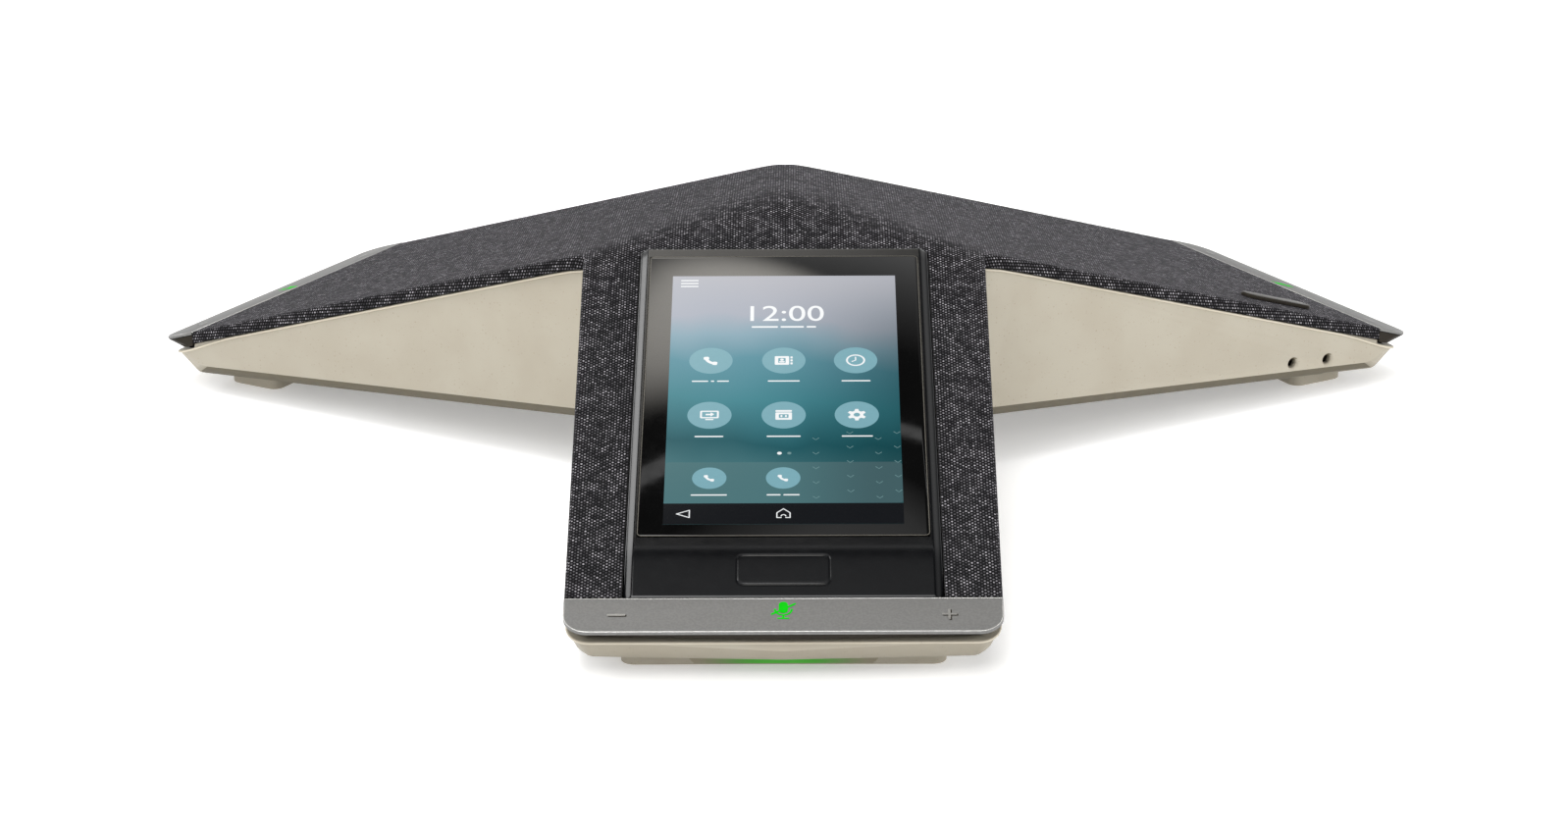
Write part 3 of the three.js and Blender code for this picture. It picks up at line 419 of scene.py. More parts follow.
def finish_mesh(bm, name, matrix=None, sharp=32.0):
    """Turns a bmesh into a smooth-shaded mesh whose edges above an angle stay sharp."""
    if matrix is not None:
        bm.transform(matrix)
    bmesh.ops.remove_doubles(bm, verts=bm.verts, dist=WELD)
    bmesh.ops.recalc_face_normals(bm, faces=bm.faces)
    mesh = plain_mesh(bm, name)
    mesh.shade_smooth()
    mesh.set_sharp_from_angle(angle=radians(sharp))
    return mesh


def face_up(bm):
    bmesh.ops.reverse_faces(bm, faces=[f for f in bm.faces if f.normal.z < 0])


def plain_mesh(bm, name):
    mesh = bpy.data.meshes.new(name)
    bm.to_mesh(mesh)
    bm.free()
    return mesh


def bevel(bm, edges, width, segments):
    bmesh.ops.bevel(
        bm, geom=edges, offset=width, segments=segments, profile=0.5, affect="EDGES",
        clamp_overlap=True,
    )


def bevel_edges(bm, width, segments=2, angle=30.0, keep=None):
    """Rounds the edges that turn by more than an angle, or those of them that keep accepts."""
    limit = radians(angle)
    sharp = [e for e in bm.edges if len(e.link_faces) == 2 and e.calc_face_angle(0) > limit]
    bevel(bm, [e for e in sharp if keep is None or keep(e)], width, segments)


def node_bmesh(node):
    """A CAD node's solid as a clean bmesh in metres, with its flat faces made whole."""
    bm = bmesh.new()
    bm.from_mesh(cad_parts[node].data)
    bmesh.ops.remove_doubles(bm, verts=bm.verts, dist=WELD)
    bmesh.ops.dissolve_limit(
        bm, angle_limit=radians(0.6), verts=bm.verts, edges=bm.edges, use_dissolve_boundaries=False,
    )
    return bm


def arc_points(centre, radius, start, end, steps):
    angles = [start + (end - start) * i / steps for i in range(steps + 1)]
    return [(centre[0] + radius * cos(a), centre[1] + radius * sin(a)) for a in angles]


def rounded_rectangle(length, width, radius, steps=6):
    """Points of a rectangle with round corners, counterclockwise, centred on the origin."""
    x, y = length / 2 - radius, width / 2 - radius
    quarter = pi / 2
    points = []
    for k, (sx, sy) in enumerate(((1, 1), (-1, 1), (-1, -1), (1, -1))):
        points += arc_points((sx * x, sy * y), radius, k * quarter, (k + 1) * quarter, steps)
    return points


def slab(outline, low, high, width, segments):
    """A closed plate over an outline, its upper edge rounded by a width. Millimetres."""
    bm = bmesh.new()
    top = cap_ends(bm, loft(bm, [[(x, y, z) for x, y in outline] for z in (low, high)]))
    bevel(bm, list(top.edges), width, segments)
    return bm


def loft(bm, rows, closed=True, joined=False):
    """Joins rows of equally many points with quads, and returns the rows of vertices.

    closed joins the ends of each row, and joined the last row to the first.
    """
    made = [[bm.verts.new(p) for p in row] for row in rows]
    for a, b in zip(made, made[1:] + (made[:1] if joined else [])):
        count = len(a)
        for i in range(count if closed else count - 1):
            j = (i + 1) % count
            bm.faces.new((a[i], a[j], b[j], b[i]))
    return made


def cap_ends(bm, rings):
    bm.faces.new(list(reversed(rings[0])))
    return bm.faces.new(rings[-1])


def round_drop(inset, radius):
    """Fall of a round edge at a distance in from its outer side."""
    rest = max(0.0, radius - inset)
    return radius - sqrt(max(0.0, radius * radius - rest * rest))


# ---------------- fabric cover

FOLD = 1.3               # radius of the cover's fold over the arms' edges
BAND_DROP = 3.6          # lower edge of the fabric band below the roof
OPENING_HALF = 41.0      # opening for the display housing
OPENING_START = 32.7
FABRIC_END = STRIP_START - 0.35
COLUMNS_IN = 16          # squares of the cover's mesh between the lines of the opening
COLUMNS_OUT = 10         # and from each line to the arm's edge
FULL_WIDTH = 57.0        # half width of an arm that the lines of the opening are scaled from
HUB_ROWS = 16
ARM_ROWS = 60
HEM = 2.2                # depth of the turned-down edges round the openings


def fabric_columns(u, limit):
    """Places across an arm, with a line along each side of the display opening."""
    inner = OPENING_HALF if u >= OPENING_START else limit * OPENING_HALF / FULL_WIDTH
    middle = [inner * (-1 + 2 * i / COLUMNS_IN) for i in range(COLUMNS_IN + 1)]
    outer = [inner + (limit - inner) * (i + 1) / COLUMNS_OUT for i in range(COLUMNS_OUT)]
    return [-v for v in reversed(outer)] + middle + outer


def turned(heading, u, v):
    """A place in an arm's frame, given from the hub axis along X and Y."""
    angle = radians(heading)
    c, s = cos(angle), sin(angle)
    return u * c - v * s, u * s + v * c


def add_roof(bm, flat, heading, rows, opening):
    """An arm's third of the roof, with a hole in it for the display where opening is set."""
    grid = []
    for u in rows:
        limit = min(u * SQRT3, half_width(u, FOLD))
        plan = [turned(heading, u, v) for v in fabric_columns(u, limit)]
        line = [bm.verts.new((x, y, roof_height(x, y))) for x, y in plan]
        flat.update(zip(line, plan))
        grid.append((u, line))
    for (start, a), (_, b) in zip(grid, grid[1:]):
        in_opening = opening and start >= OPENING_START - 0.001
        for i in range(len(a) - 1):
            if in_opening and COLUMNS_OUT <= i < len(a) - 1 - COLUMNS_OUT:
                continue
            corners = (a[i], b[i], b[i + 1], a[i + 1])
            if len({tuple(q.co) for q in corners}) >= 3:
                bm.faces.new(corners)


def add_side(bm, flat, heading, side, shares):
    """The fold over one edge of an arm and the band below it. shares place the rows along the arm."""
    profile = [(FOLD * (1 - sin(k * pi / 12)), 0.0) for k in range(7)]
    profile += [(0.0, 1.0), (0.0, BAND_DROP - FOLD), (0.9, BAND_DROP - FOLD + 0.05)]
    strips = []
    for inset, down in profile:
        line = []
        start = half_width(0, inset) / (SQRT3 + TAPER)
        for share in shares:
            u = start + (FABRIC_END - start) * share
            x, y = turned(heading, u, side * half_width(u, inset))
            fall = round_drop(inset, FOLD)
            z = roof_height(x, y) - fall - down
            run = FOLD - inset + fall * 0.8 + down
            line.append(bm.verts.new((x, y, z)))
            flat[line[-1]] = turned(heading, u, side * (half_width(u, FOLD) + run))
        strips.append(line)
    for a, b in zip(strips, strips[1:]):
        for i in range(len(a) - 1):
            corners = (a[i], b[i], b[i + 1], a[i + 1])
            bm.faces.new(corners if side > 0 else (a[i], a[i + 1], b[i + 1], b[i]))


def add_hems(bm):
    """Turns the roof's open edges down."""
    def on_roof(v):
        return abs(roof_height(v.co.x, v.co.y) - v.co.z) < FOLD + 0.01

    edges = [e for e in bm.edges if e.is_boundary and all(on_roof(v) for v in e.verts)]
    made = bmesh.ops.extrude_edge_only(bm, edges=edges)["geom"]
    for v in (g for g in made if isinstance(g, bmesh.types.BMVert)):
        v.co.z -= HEM


def fabric_mesh():
    """The whole cover. flat keeps each vertex's place on the sheet, which the weave follows."""
    bm = bmesh.new()
    cloth = bm.loops.layers.uv.new("cloth")
    flat = {}
    notch = half_width(0, FOLD) / (SQRT3 + TAPER)
    shares = [i / ARM_ROWS for i in range(ARM_ROWS + 1)]
    rows = [notch * i / HUB_ROWS for i in range(HUB_ROWS)]
    rows += [notch + (FABRIC_END - notch) * share for share in shares]
    for name, heading in HEADINGS.items():
        opening = name == "front"
        add_roof(bm, flat, heading, sorted(rows + [OPENING_START]) if opening else rows, opening)
        for side in (-1, 1):
            add_side(bm, flat, heading, side, shares)
    for face in bm.faces:
        for corner in face.loops:
            x, y = flat[corner.vert]
            corner[cloth].uv = (x * MM, y * MM)
    bmesh.ops.remove_doubles(bm, verts=bm.verts, dist=0.01)
    add_hems(bm)
    return finish_mesh(bm, "fabric_cover", arm_matrix(), sharp=50)


def make_fabric(material):
    cover = add_piece("fabric", fabric_mesh(), material, ("fabric_cover",))


# ---------------- display, in the front arm's frame

SCREEN_TILT = 0.3176     # radians
SCREEN_CENTRE = (98.3, 47.9)  # along the arm, and the height of the glass's upper face
GLASS = (75.1, 124.6, 1.1)
GLASS_GAP = 0.25         # round the glass in its pocket
CHIN_SLOPE = 0.474
FOLD_U = 162.8           # where the display plane bends down into the chin
HOUSING_START = HUB_Y - box_mm("display_housing")[1].y
HOUSING_END = HUB_Y - box_mm("display_housing")[0].y
HOUSING_HALF = box_mm("display_housing")[1].x
PICTURE = (62.1, 110.4)  # lit area
PICTURE_OFFSET = -2.5    # its middle, up the slope from the middle of the glass
PAD_HALF = (4.6, 11.8)   # outline pressed in the chin: along the arm and across
PAD_U = 168.8
PAD_CORNER = 1.5
GROOVE = (0.09, 0.16)    # depth and half width of that outline
HOUSING_CORNER = 3.0
HOUSING_SKIRT = 3.4      # depth of the housing's walls
SHOULDER_DROP = 1.1      # fall of its border, and the round edge outside that
SHOULDER_END = 2.1       # where the border meets the face, in from the outer edge
EDGE_RADIUS = 0.5


def screen_matrix():
    """From the glass's frame (x across, y up the slope, z out of the glass) to the object's."""
    along, height = SCREEN_CENTRE
    tilt = Matrix.Rotation(SCREEN_TILT, 4, "X")
    return Matrix.Scale(MM, 4) @ Matrix.Translation((0, HUB_Y - along, height)) @ tilt


def screen_plane(u):
    return SCREEN_CENTRE[1] - (u - SCREEN_CENTRE[0]) * tan(SCREEN_TILT)


def soft_min(a, b, softness):
    return -softness * log(exp(-a / softness) + exp(-b / softness))


def housing_top(u):
    """The housing's face: a little below the glass, then bent down into the chin."""
    chin = screen_plane(FOLD_U) - (u - FOLD_U) * CHIN_SLOPE
    return soft_min(screen_plane(u) - 0.25, chin - 0.25, 0.2) + 0.02


def housing_shoulder(inset):
    """Fall of the housing's border at a distance in from its outer edge."""
    if inset < EDGE_RADIUS:
        return SHOULDER_DROP + round_drop(inset, EDGE_RADIUS)
    return max(0.0, SHOULDER_DROP * (SHOULDER_END - inset) / (SHOULDER_END - EDGE_RADIUS))


def pad_groove(u, v):
    """Depth of the fine outline pressed round the pad in the chin."""
    away_u = abs(u - PAD_U) - PAD_HALF[0] + PAD_CORNER
    away_v = abs(v) - PAD_HALF[1] + PAD_CORNER
    outside = hypot(max(away_u, 0), max(away_v, 0)) + min(max(away_u, away_v), 0) - PAD_CORNER
    return GROOVE[0] * exp(-(outside / GROOVE[1]) ** 2)


def mirrored(values):
    """Values below zero, then zero, then the same values above it."""
    return values + [0.0] + [-v for v in reversed(values)]


def housing_mesh():
    """A grid over the display's face, finer where it curves, with walls round it."""
    edge = [0.0, 0.04, 0.12, 0.25, 0.42, 0.6, 1.0, 1.5, 1.9, 2.2, 2.5]
    edge.append(HOUSING_HALF - GLASS[0] / 2 - GLASS_GAP)
    pocket = edge[-1] + 0.03
    near_pad = [-12.6, -12.2, -11.95, -11.8, -11.65, -11.4, -10.9, -10.3, -9, -4]
    across = mirrored([-HOUSING_HALF + d for d in edge + [pocket]] + [-30, -20] + near_pad)
    half_length = GLASS[1] / 2 * cos(SCREEN_TILT)
    glass_high, glass_low = SCREEN_CENTRE[0] - half_length, SCREEN_CENTRE[0] + half_length
    along = [HOUSING_START + d for d in edge[:-1]]
    along += [glass_high - 0.3, glass_high - 0.27]
    along += [50, 75, 100, 125, 145, glass_low + 0.27, glass_low + 0.3]
    along += [FOLD_U - 2.2 + 0.4 * k for k in range(14)]
    along += [PAD_U + d for d in mirrored([-5.5, -5.0, -4.75, -4.6, -4.45, -4.2, -3.7, -3.1, -2])]
    along += [HOUSING_END - d for d in (1.6, 0.8, 0.4, 0.2, 0.08, 0.0)]
    along = sorted(set(u for u in along if u <= HOUSING_END))

    def half_at(u):
        """Half the housing's width, less in its round upper corners."""
        return HOUSING_HALF - round_drop(u - HOUSING_START, HOUSING_CORNER)

    def shifted(u, v):
        """Moves a column inward where the housing is narrower."""
        flat = 30.0
        if abs(v) <= flat:
            return v
        return copysign(flat + (abs(v) - flat) * (half_at(u) - flat) / (HOUSING_HALF - flat), v)

    def height(u, v):
        inset = min(half_at(u) - abs(v), u - HOUSING_START)
        z = housing_top(u) - housing_shoulder(inset) - pad_groove(u, v)
        z -= 0.35 * max(0.0, 1 - (HOUSING_END - u) / 0.4) ** 2
        if glass_high - 0.28 < u < glass_low + 0.28 and abs(v) < HOUSING_HALF - pocket + 0.001:
            z = screen_plane(u) - GLASS[2] - 0.4
        return z

    bm = bmesh.new()
    grid = [[(u, shifted(u, v), height(u, shifted(u, v))) for v in across] for u in along]
    made = loft(bm, grid, closed=False)
    right, left = [row[-1] for row in made], [row[0] for row in reversed(made)]
    for line in (made[0], right, list(reversed(made[-1])), left):
        low = [bm.verts.new((v.co.x, v.co.y, v.co.z - HOUSING_SKIRT)) for v in line]
        for i in range(len(line) - 1):
            bm.faces.new((line[i + 1], line[i], low[i], low[i + 1]))
    return finish_mesh(bm, "housing", arm_matrix("front"), sharp=36)


def glass_mesh():
    bm = slab(rounded_rectangle(GLASS[0], GLASS[1], 1.2, 6), -GLASS[2], 0.0, 0.22, 3)
    return finish_mesh(bm, "cover_glass", screen_matrix(), sharp=40)


def glass_edge_mesh():
    """A fine light line round the glass, a painted highlight of its edge."""
    bm = bmesh.new()
    outline = rounded_rectangle(GLASS[0] - 0.1, GLASS[1] - 0.1, 1.2, 6)
    tube(bm, [(x, y, -0.06) for x, y in outline], 0.13, closed=True)
    return finish_mesh(bm, "glass_edge_highlight", screen_matrix(), sharp=60)


def flat_face(bm, points, z=0.0):
    return bm.faces.new([bm.verts.new((x, y, z)) for x, y in points])


def band(bm, inner, outer, z=0.0, closed=True):
    """A flat ring, or an open strip, between two lines of points."""
    loft(bm, [[(x, y, z) for x, y in line] for line in (inner, outer)], closed)


def circle(centre, radius, steps):
    return arc_points(centre, radius, 0.0, 2 * pi, steps)[:-1]


def moved(points, place, turn=0.0, scale=1.0):
    """Points turned, scaled and then moved to a place."""
    c, s = cos(turn) * scale, sin(turn) * scale
    return [(place[0] + x * c - y * s, place[1] + x * s + y * c) for x, y in points]


def plate(bm, place, length, width, corner, steps, z=0.0):
    """A flat rectangle with round corners, centred on a place."""
    flat_face(bm, moved(rounded_rectangle(length, width, corner, steps), place), z)


def stroke(bm, points, width, z=0.0):
    """A line of even width through some points, with round ends."""
    left, right = [], []
    for i, point in enumerate(points):
        ahead = Vector(points[min(i + 1, len(points) - 1)]) - Vector(points[max(i - 1, 0)])
        out = Vector((-ahead.y, ahead.x)).normalized() * width / 2
        left.append(Vector(point) + out)
        right.append(Vector(point) - out)
    band(bm, left, right, z, closed=False)
    for point in (points[0], points[-1]):
        flat_face(bm, circle(point, width / 2, 10), z)


def icon_handset(bm, place, scale=1.0, z=0.0):
    centre, radius, ends = (1.35, 1.35), 2.6, (radians(186), radians(264))
    stroke(bm, moved(arc_points(centre, radius, *ends, 12), place, 0, scale), 0.95 * scale, z)
    for angle in ends:
        end = (centre[0] + radius * cos(angle), centre[1] + radius * sin(angle))
        ear = moved(rounded_rectangle(1.5, 1.35, 0.4, 4), end, angle)
        flat_face(bm, moved(ear, place, 0, scale), z)


def icon_card(bm, x, y):
    hole, card = rounded_rectangle(2.0, 2.2, 0.2, 4), rounded_rectangle(3.9, 3.9, 0.3, 4)
    band(bm, moved(hole, (x - 0.5, y)), moved(card, (x - 0.5, y)))
    flat_face(bm, circle((x - 0.5, y + 0.35), 0.5, 16))
    plate(bm, (x - 0.5, y - 0.6), 1.5, 0.6, 0.28, 4)
    for k in (-1, 0, 1):
        plate(bm, (x + 2.1, y + 1.35 * k), 0.6, 0.9, 0.1, 2)


def icon_clock(bm, x, y):
    band(bm, circle((x, y), 2.1, 36), circle((x, y), 2.6, 36))
    stroke(bm, moved([(0, 1.4), (0, 0), (-0.95, -0.55)], (x, y)), 0.36)


def icon_monitor(bm, x, y):
    inner, outer = rounded_rectangle(4.0, 2.3, 0.15, 4), rounded_rectangle(5.0, 3.3, 0.4, 4)
    band(bm, moved(inner, (x, y)), moved(outer, (x, y)))
    plate(bm, (x, y - 2.2), 2.2, 0.5, 0.15, 3)
    arrow = [(-1.0, -0.35), (0.3, -0.35), (0.3, -0.9), (1.3, 0.1), (0.3, 0.9), (0.3, 0.3), (-1.0, 0.3)]
    flat_face(bm, moved(arrow, (x, y)))


def icon_calendar(bm, x, y):
    inner, outer = rounded_rectangle(2.6, 1.6, 0.2, 4), rounded_rectangle(4.4, 3.2, 0.3, 4)
    band(bm, moved(inner, (x, y - 0.5)), moved(outer, (x, y - 0.5)))
    plate(bm, (x, y + 1.75), 4.4, 0.8, 0.25, 4)
    for k in (-1, 1):
        plate(bm, (x + 0.6 * k, y - 0.5), 0.5, 0.9, 0.2, 3)


def icon_gear(bm, x, y):
    band(bm, circle((x, y), 0.85, 32), circle((x, y), 1.75, 32))
    tooth = [(1.6, -0.62), (2.5, -0.42), (2.5, 0.42), (1.6, 0.62)]
    for k in range(6):
        flat_face(bm, moved(tooth, (x, y), pi / 3 * k + pi / 6))


def navigation_marks(bm, z):
    """Back and home marks of the bar along the bottom of the picture."""
    back = [(-27.6, -51.0), (-24.3, -49.5), (-24.3, -52.5), (-27.6, -51.0)]
    home = [(-1.7, -52.6), (-1.7, -50.6), (0, -49.0), (1.7, -50.6), (1.7, -52.6)]
    for line in (back, home):
        for a, b in zip(line, line[1:]):
            stroke(bm, [a, b], 0.3, z)
    for side in (-1, 1):
        stroke(bm, [(1.7 * side, -52.6), (0.6 * side, -52.6)], 0.3, z)
    stroke(bm, arc_points((0, -52.0), 0.6, 0, pi, 8), 0.3, z)


# Places and sizes on the display, in millimetres from the middle of the picture.
APP_COLUMNS = (-19.8, 0.0, 19.5)
APP_ROWS = (15.4, -9.0)
APP_LABELS = (((4.4, 0.9, 3.2), (7.6,)), ((8.6,), (9.0,)), ((7.8,), (8.2,)))
DISC_RADIUS = 5.9
DOCK_PLACES = ((-19.4, -36.1), (-0.1, -36.1))
DOCK_LABELS = ((9.4,), (3.6, 4.2))
DOCK_DISC_RADIUS = 4.5
DOCK_BAND = (-37.95, 17.2)  # middle and height
NAVIGATION_BAND = (-50.9, 8.6)
PAGE_DOTS_Y = -25.6
CLOCK_Y = 36.8
CLOCK_HEIGHT = 10.2


def word_bars(bm, place, lengths, height, z=0.0):
    """Plain bars that stand for a line of words."""
    space = 0.75
    x = place[0] - (sum(lengths) + space * (len(lengths) - 1)) / 2
    for length in lengths:
        shape = rounded_rectangle(length, height * 0.62, height * 0.2, 3)
        flat_face(bm, moved(shape, (x + length / 2, place[1])), z)
        x += length + space


def digits(bm, text, height, place):
    """Plain digits in the built-in face, centred on a place."""
    curve = bpy.data.curves.new("digits", "FONT")
    curve.body = text
    curve.size = height
    curve.align_x = "CENTER"
    curve.align_y = "CENTER"
    holder = bpy.data.objects.new("digits", curve)
    link(holder)
    bpy.context.view_layer.update()
    mesh = bpy.data.meshes.new_from_object(holder.evaluated_get(bpy.context.evaluated_depsgraph_get()))
    mesh.transform(Matrix.Translation((*place, 0)))
    bm.from_mesh(mesh)
    bpy.data.objects.remove(holder)
    bpy.data.curves.remove(curve)
    bpy.data.meshes.remove(mesh)


def picture_piece(name, build, lift, material, replaces=()):
    """A flat figure just above the glass. Its map runs from 0 to 1 across and up the picture."""
    bm = bmesh.new()
    build(bm)
    layer = bm.loops.layers.uv.new("picture")
    for face in bm.faces:
        for corner in face.loops:
            x, y = corner.vert.co.x, corner.vert.co.y
            corner[layer].uv = (x / PICTURE[0] + 0.5, y / PICTURE[1] + 0.5)
    bm.transform(Matrix.Translation((0, PICTURE_OFFSET, lift)))
    bmesh.ops.recalc_face_normals(bm, faces=bm.faces)
    face_up(bm)
    bm.transform(screen_matrix())
    add_piece(name, plain_mesh(bm, name), material, replaces)


def glowing(name, color=None, gradient=None):
    """Lit ink on the display. gradient maps the picture's coordinates to a colour."""
    s = Shader(name, Roughness=0.06, Specular_IOR_Level=0.5)
    s.set("Base Color", rgb(0.0006, 0.0006, 0.0007))
    s.set("Emission Strength", 1.0)
    if gradient:
        s.set("Emission Color", gradient(s))
    else:
        flicker = s.noise(700.0, 1.0)
        s.set("Emission Color", s.mix(flicker, rgb(*(c * 0.94 for c in color)), rgb(*color)))
    return s.material


def wallpaper(s):
    """A misty lake at dusk: pale lilac above, blue, then deep teal."""
    place = s.node("UVMap", uv_map="picture").outputs[0]
    split = s.node("SeparateXYZ", {0: place})
    haze = s.noise(2.2, 2.0, place)
    across = split.outputs[0]
    up = s.math("ADD", split.outputs[1], s.math("MULTIPLY", s.math("SUBTRACT", haze, 0.5), 0.16))
    up = s.math("ADD", up, s.math("MULTIPLY", across, 0.06))
    water = s.color_ramp(up, (
        (0.0, (0.085, 0.20, 0.215)), (0.17, (0.075, 0.20, 0.22)), (0.33, (0.012, 0.10, 0.122)),
        (0.50, (0.043, 0.225, 0.27)), (0.66, (0.085, 0.27, 0.34)), (0.76, (0.23, 0.37, 0.45)),
        (0.84, (0.385, 0.415, 0.485)), (1.0, (0.43, 0.44, 0.49)),
    ))
    shade = s.math("MULTIPLY", s.ramp(across, 0.3, 1.2), s.ramp(split.outputs[1], 1.1, 0.6))
    return s.mix(s.math("MULTIPLY", shade, 0.72), water, rgb(0.0, 0.03, 0.035))


def dock_shade(s):
    """The dock's tint, deeper toward its right end."""
    across = s.node("SeparateXYZ", {0: s.node("UVMap", uv_map="picture").outputs[0]}).outputs[0]
    return s.mix(s.ramp(across, 0.4, 0.95), rgb(0.072, 0.175, 0.19), rgb(0.052, 0.11, 0.122))


def make_display(dark, glass, edge):
    add_piece("housing", housing_mesh(), dark, ("display_housing", "chin_pad"))
    add_piece("glass", glass_mesh(), glass, ("cover_glass",))
    add_piece("glass_edge_highlight", glass_edge_mesh(), edge)

    def picture(bm):
        xs = [PICTURE[0] * (i / 8 - 0.5) for i in range(9)]
        ys = [PICTURE[1] * (k / 14 - 0.5) for k in range(15)]
        loft(bm, [[(x, y, 0) for x in xs] for y in ys], closed=False)

    def discs(bm):
        for y in APP_ROWS:
            for x in APP_COLUMNS:
                flat_face(bm, circle((x, y), DISC_RADIUS, 48))
        for place in DOCK_PLACES:
            flat_face(bm, circle(place, DOCK_DISC_RADIUS, 40), 0.02)

    def dock(bm):
        plate(bm, (0, DOCK_BAND[0]), PICTURE[0], DOCK_BAND[1], 1.2, 4)

    def navigation(bm):
        plate(bm, (0, NAVIGATION_BAND[0]), PICTURE[0], NAVIGATION_BAND[1], 0.05, 1)

    def figures(bm):
        for k in range(3):
            plate(bm, (-26.3, 53.0 - 1.4 * k), 4.9, 0.5, 0.1, 2)
        digits(bm, "12:00", CLOCK_HEIGHT, (0, CLOCK_Y))
        word_bars(bm, (0, 30.9), (7.2, 6.4, 2.6), 1.15)
        left, centre, right = APP_COLUMNS
        upper, lower = APP_ROWS
        icon_handset(bm, (left, upper))
        icon_card(bm, centre, upper)
        icon_clock(bm, right, upper)
        icon_monitor(bm, left, lower + 0.3)
        icon_calendar(bm, centre, lower)
        icon_gear(bm, right, lower)
        for place, words in zip(DOCK_PLACES, DOCK_LABELS):
            icon_handset(bm, place, 0.72, 0.03)
            word_bars(bm, (place[0], place[1] - 7.1), words, 0.8, 0.03)
        flat_face(bm, circle((-1.1, PAGE_DOTS_Y), 0.62, 16))
        for x, lengths in zip(APP_COLUMNS, APP_LABELS):
            for y, words in zip(APP_ROWS, lengths):
                word_bars(bm, (x, y - 9.3), words, 0.85)
        navigation_marks(bm, 0.03)

    def faint(bm):
        flat_face(bm, circle((1.5, PAGE_DOTS_Y), 0.55, 16))
        for column, x in enumerate((8.5, 17.5, 25.0, 30.0)):
            for row in range(5):
                y = -19.5 - 6.2 * row + 2.6 * (column % 2)
                stroke(bm, [(x - 0.8, y + 0.4), (x, y - 0.4), (x + 0.8, y + 0.4)], 0.22, 0.03)

    picture_piece("picture", picture, 0.03, glowing("lit_picture", gradient=wallpaper), ("lcd_panel",))
    picture_piece("picture_dock", dock, 0.05, glowing("lit_dock", gradient=dock_shade))
    for name, build, lift, color in (
        ("navigation", navigation, 0.05, (0.006, 0.007, 0.009)),
        ("discs", discs, 0.06, (0.205, 0.42, 0.485)),
        ("marks", figures, 0.08, (0.93, 0.95, 0.96)),
        ("specks", faint, 0.07, (0.16, 0.29, 0.3)),
    ):
        picture_piece(f"picture_{name}", build, lift, glowing(f"lit_{name}", color))


# ---------------- touch strips, in an arm's frame

PLATE = 0.8              # thickness
KEY_U = 184.3            # middle of the plus and minus marks
MINUS_V = -41.9
PLUS_V = 41.6
MUTE_U = 182.6
RIM_RADIUS = 0.2         # of the bright line round a plate, a painted highlight of its rounded edge


def shear_to_roof(bm, drop=0.0):
    """Lays a flat figure on the slope of an arm's roof."""
    for v in bm.verts:
        v.co.z += roof_plane(v.co.x, drop)


def strip_outline(start, reach, inset, radius):
    """Plan of an arm's end from a start to its tip, counterclockwise."""
    centre = (reach - radius, half_width(reach - radius, inset) - radius * SPREAD)
    right = arc_points((centre[0], -centre[1]), radius, -pi / 2 + atan(TAPER), 0.0, 10)
    left = [(u, -v) for u, v in reversed(right)]
    return [(start, -half_width(start, inset))] + right + left + [(start, half_width(start, inset))]


def plate_mesh(arm):
    bm = slab(strip_outline(STRIP_START, REACH, 0.0, CORNER), -PLATE, 0.0, 0.2, 2)
    shear_to_roof(bm)
    return finish_mesh(bm, "plate", arm_matrix(arm), sharp=36)


def tube(bm, points, radius, closed=False):
    """A round rod along a path of points."""
    angles = [2 * pi * k / 8 for k in range(8)]
    rings = []
    count = len(points)
    for i, point in enumerate(points):
        before = points[i - 1] if i or closed else points[0]
        after = points[(i + 1) % count] if i < count - 1 or closed else points[-1]
        along = (Vector(after) - Vector(before)).normalized()
        side = along.cross(Vector((0, 0, 1))).normalized()
        up = side.cross(along)
        rings.append([Vector(point) + (side * cos(a) + up * sin(a)) * radius for a in angles])
    made = loft(bm, rings, joined=closed)
    if not closed:
        bm.faces.new(made[0])
        bm.faces.new(list(reversed(made[-1])))


def rim_mesh(arm):
    """A bright metal line round the edge of a strip's plate, a painted highlight of the plate's rounded
    edge.
    """
    bm = bmesh.new()
    inner = strip_outline(STRIP_START + RIM_RADIUS, REACH - RIM_RADIUS, RIM_RADIUS, CORNER - RIM_RADIUS)
    tube(bm, [(u, v, roof_plane(u) - RIM_RADIUS * 0.8) for u, v in inner], RIM_RADIUS, closed=True)
    return finish_mesh(bm, "rim", arm_matrix(arm), sharp=60)


# The plus and minus marks. Shifted outward and laid lower, the same shapes give their painted shadows.
def key_marks(bm, shift=0.0, lift=0.02):
    plate(bm, (KEY_U + shift, MINUS_V + shift), 0.7, 4.6, 0.1, 2, lift)
    plate(bm, (KEY_U + shift, PLUS_V + shift), 0.62, 3.8, 0.1, 2, lift)
    plate(bm, (KEY_U + shift, PLUS_V + shift), 3.8, 0.62, 0.1, 2, lift + 0.01)


def key_mark_shadows(bm):
    """Painted shadow: the marks again, shifted outward and in gloss black, for the shaded far edges of
    their engraving.
    """
    key_marks(bm, 0.3, 0.0)


def mute_mark(bm):
    """A microphone with a line through it. Its foot points outward, so u falls with height."""
    def at(points):
        return [(MUTE_U - y, x) for x, y in points]

    flat_face(bm, at(moved(rounded_rectangle(2.3, 4.2, 1.14, 6), (0, 0.9))))
    stroke(bm, at(arc_points((0, 0.2), 2.1, pi, 2 * pi, 14)), 0.5)
    stroke(bm, at([(0, -1.9), (0, -2.9)]), 0.5)
    stroke(bm, at([(-1.3, -3.1), (1.3, -3.1)]), 0.5)
    stroke(bm, at([(-2.9, -1.6), (2.9, 2.2)]), 0.55, 0.02)


def strip_mark(name, arm, build, material, replaces=()):
    bm = bmesh.new()
    build(bm)
    shear_to_roof(bm, -0.05)
    bm.transform(arm_matrix(arm))
    bm.normal_update()
    face_up(bm)
    add_piece(name, plain_mesh(bm, name), material, replaces)


